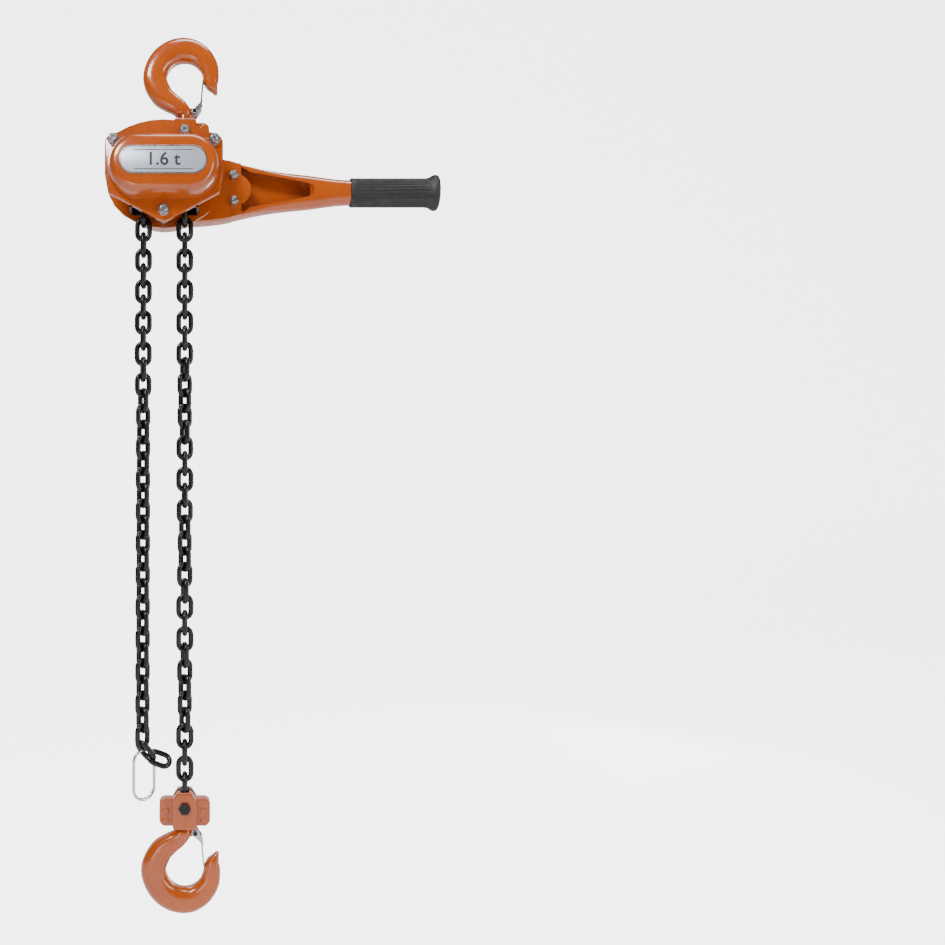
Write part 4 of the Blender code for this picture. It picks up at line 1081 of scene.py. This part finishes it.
def grip():
    """The ribbed rubber grip on the lever's neck."""

    def ring(u, wide, deep, ribs):
        points = []
        for j in range(240):
            t = 2 * pi * j / 240
            lift = 1.0 - ribs * 0.045 * (0.5 - 0.5 * cos(30 * t)) ** 0.6
            points.append((AXIS.x + u, 62 + deep * lift * cos(t), AXIS.z + wide * lift * sin(t)))
        return points

    rows = [(GRIP_START, 18.7, 13.7, 0), (GRIP_START + 0.6, 19.7, 14.7, 0), (GRIP_START + 2, 20.5, 15.5, 0)]
    rows += [(GRIP_START + 8, 20.5, 15.5, 0), (GRIP_START + 9.5, 20.5, 15.5, 1), (320, 20.5, 15.5, 1)]
    rows += [(369, 20.5, 15.5, 1), (371, 20.8, 15.8, 0), (375, 21.8, 16.8, 0), (378, 23.8, 18.7, 0)]
    rows += [(380.5, 25.0, 19.7, 0), (383, 25.3, 20, 0), (385.5, 24.8, 19.5, 0)]
    rows += [(386.7, 23.6, 18.4, 0), (GRIP_END, 22.0, 17.0, 0)]
    made = lofted("grip", [ring(*row) for row in rows])
    bore = []
    for u, wide, deep in ((255, 17.4, 12.6), (259, 17.4, 12.6), (373.5, 14.6, 10.1)):
        points = []
        for j in range(16):
            t = 2 * pi * j / 16
            points.append((AXIS.x + u, 62 + deep * cos(t), AXIS.z + wide * sin(t)))
        bore.append(points)
    cut(made, lofted("bore", bore))
    finish(made, "lever_grip", "black_rubber", bevel=0, smooth=50)


def pawl_nose(side):
    """One nose of the changeover pawl, as points about its pivot."""
    turns = [pi - side * radians(20 + off) - radians(7.15) for off in (8, 3, -2, -10)]
    return [(r * cos(t), r * sin(t)) for r, t in zip((24, 35.4, 35.4, 22), turns)]


def selector():
    spot = about_axis(SELECTOR_U, 0)
    knob = turned("knob", [(4.2, 75.5), (10.5, 75.5), (10.5, 86), (8.8, 87.5), (4.2, 87.5)], spot, "Y")
    end = (spot[0] + 29.5 * cos(SELECTOR_REST), spot[1] + 29.5 * sin(SELECTOR_REST))
    near = (spot[0] + 11 * cos(SELECTOR_REST), spot[1] + 11 * sin(SELECTOR_REST))
    joined(knob, prism("arm", capsule_path(near, end, 6.4), 80.5, 90))
    cut(knob, disc("bore", 4.2, 70, 95, spot))
    pivot = (spot[0], 0, spot[1])
    finish(knob, "selector_knob", "black_plastic")
    shaft = [(0, 87.9), (3.9, 87.9), (3.9, 56), (0, 56)]
    finish(turned("shaft", shaft, spot), "selector_shaft", "zinc")
    outline = arc((0, 0), 9.5, -105, 105, 8) + pawl_nose(1) + [(-9.5, 0)] + pawl_nose(-1)[::-1]
    pawl = prism("pawl", moved(outline, spot), 56.5, 64.5)
    cut(pawl, disc("bore", 4.2, 50, 70, spot))
    finish(pawl, "changeover_pawl", "steel")


def nameplate():
    corners = [(77.5, 30.7), (100, 30.7), (120.5, 19.8), (120.5, -19.8), (100, -30.7), (77.5, -30.7)]
    made = pillow("plate", at_axis(smooth_corners(corners, 1.5)), 75.3, 76.1, 0.1, 0.2, 3)
    finish(made, "nameplate", "nameplate_black", bevel=0)
    panel = [(82.5, 17.3), (104.5, 17.3), (104.5, -17.3), (82.5, -17.3)]
    detail(prism("panel", at_axis(panel), 76.0, 76.2), "nameplate_panel", "print_light", "lever")
    place = about_axis(93.5, 0)
    lettering("nameplate_figures", "1.6 t", place, 18.0, 76.22, "print_dark", "lever", True, -90)
    for place, side in ((1, 1), (2, -1)):
        arrow = [(-9, -2.6), (2, -2.6), (2, -5), (9, 0), (2, 5), (2, 2.6), (-9, 2.6)]
        arrow = [about_axis(93.5 - side * a, side * 24 + b) for a, b in arrow]
        detail(prism("arrow", arrow, 76.0, 76.2), f"nameplate_arrow_{place}", "print_light", "lever")
    oval = [about_axis(109.5 + a, b) for b, a in stadium(5.5, 2.4)]
    detail(prism("oval", oval, 76.0, 76.2), "nameplate_oval", "print_light", "lever")
    lettering("nameplate_neutral", "N", about_axis(109.5, 0), 4.4, 76.22, "print_dark", "lever", True, -90)
    for k, (u, w) in enumerate(((81, 26.5), (81, -26.5), (116.5, 17), (116.5, -17))):
        profile = [(0, 75.6), (2.3, 75.6), (2.3, 76.2), (1.6, 76.3), (0.9, 76.2), (0, 75.9)]
        rivet = turned("rivet", profile, about_axis(u, w))
        detail(rivet, f"nameplate_rivet_{k}", "zinc", "lever")


def floor_material():
    n = Nodes("floor")
    seen = n.node("LightPath", "Is Camera Ray")
    colour = n.mix(n.ramp(n.noise(0.9, 3.0), 0.3, 0.7), (0.80, 0.80, 0.80), (0.84, 0.84, 0.84))
    n.link(n.mix(seen, (0.10, 0.10, 0.10), (1.0, 1.0, 1.0)), n.shader.inputs["Emission Color"])
    n.set(Emission_Strength=4.0)
    return n.done(colour, n.ramp(n.noise(3.0), 0.3, 0.7, 0.6, 0.7), n.bump(n.noise(60), 0.02, 0.001))


def stage():
    mesh = bpy.data.meshes.new("floor")
    z, near, wide, back = -1.30, -4.5, 7.0, 2.6
    points = [(-wide, near, z), (wide, near, z)]
    profile = [(back, z)] + [(back + 0.8 * sin(t), z + 0.8 * (1 - cos(t))) for t in
                             (pi / 2 * k / 12 for k in range(1, 13))] + [(back + 0.8, 3.0)]
    for y, h in profile:
        points += [(-wide, y, h), (wide, y, h)]
    faces = [(2 * i, 2 * i + 1, 2 * i + 3, 2 * i + 2) for i in range(len(points) // 2 - 1)]
    mesh.from_pydata(points, [], faces)
    floor = bpy.data.objects.new("floor", mesh)
    bpy.context.collection.objects.link(floor)
    mesh.materials.append(floor_material())
    mesh.shade_smooth()


def light(name, place, target, size, power):
    lamp = bpy.data.lights.new(name, "AREA")
    lamp.shape = "RECTANGLE"
    lamp.size, lamp.size_y = size
    lamp.energy = power
    made = bpy.data.objects.new(name, lamp)
    made.location = place
    made.rotation_euler = (Vector(target) - Vector(place)).to_track_quat("-Z", "Y").to_euler()
    bpy.context.collection.objects.link(made)


def lights():
    world = bpy.data.worlds.new("studio")
    world.use_nodes = True
    nodes, links = world.node_tree.nodes, world.node_tree.links
    seen = nodes.new("ShaderNodeLightPath").outputs["Is Camera Ray"]
    grey = nodes.new("ShaderNodeMapRange")
    grey.inputs["To Min"].default_value = 0.16
    grey.inputs["To Max"].default_value = 4.0
    links.new(seen, grey.inputs["Value"])
    links.new(grey.outputs["Result"], nodes["Background"].inputs["Strength"])
    nodes["Background"].inputs["Color"].default_value = (1, 1, 1, 1)
    bpy.context.scene.world = world
    light("key", (-1.0, -1.6, 1.1), (0, 0, -0.35), (0.7, 0.5), 50)
    light("top", (0.3, -0.5, 1.6), (0, 0, -0.3), (1.2, 0.5), 26)
    light("low", (-0.6, -1.7, -1.0), (0, 0, -0.8), (0.5, 0.9), 5)
    light("fill", (1.7, -1.3, -0.3), (0, 0, -0.6), (0.6, 1.6), 22)
    light("back", (-0.9, 1.5, 0.9), (0, 0, -0.3), (0.9, 0.7), 16)
    light("back_fill", (1.5, 1.6, -0.4), (0, 0, -0.5), (0.7, 1.4), 18)


def camera():
    lens = bpy.data.cameras.new("camera")
    lens.lens = 31.6
    lens.shift_x = 0.3045
    made = bpy.data.objects.new("camera", lens)
    made.location = (0.0, -1.1, -0.6045)
    made.rotation_euler = (radians(90 + 2.5), 0, 0)
    bpy.context.collection.objects.link(made)
    bpy.context.scene.camera = made


def build():
    pivot = hook("top_hook", TOP_BOWL, -1, TOP_DROP)
    latch("top_latch", TOP_BOWL, -1, pivot)
    yoke("top_yoke", TOP_PIN, 1, 10.5, 4.0, False, TOP_DROP)
    top_pin()
    plates()
    stays()
    gear_cover()
    brake_cover()
    drive()
    handwheel()
    lever()
    selector()
    nameplate()
    chain_over_sheave()
    load_chain()
    tail_chain()
    yoke("bottom_yoke", CHAIN_PIN, -1, 19.5, 10.0, True, 0.0)
    chain_pin()
    pivot = hook("bottom_hook", BOTTOM_BOWL, 1, 0.0)
    latch("bottom_latch", BOTTOM_BOWL, 1, pivot)
    sheave_group()
    stage_gears()
    chain_guide()
    brake_pawls()


camera()
build()
stage()
lights()
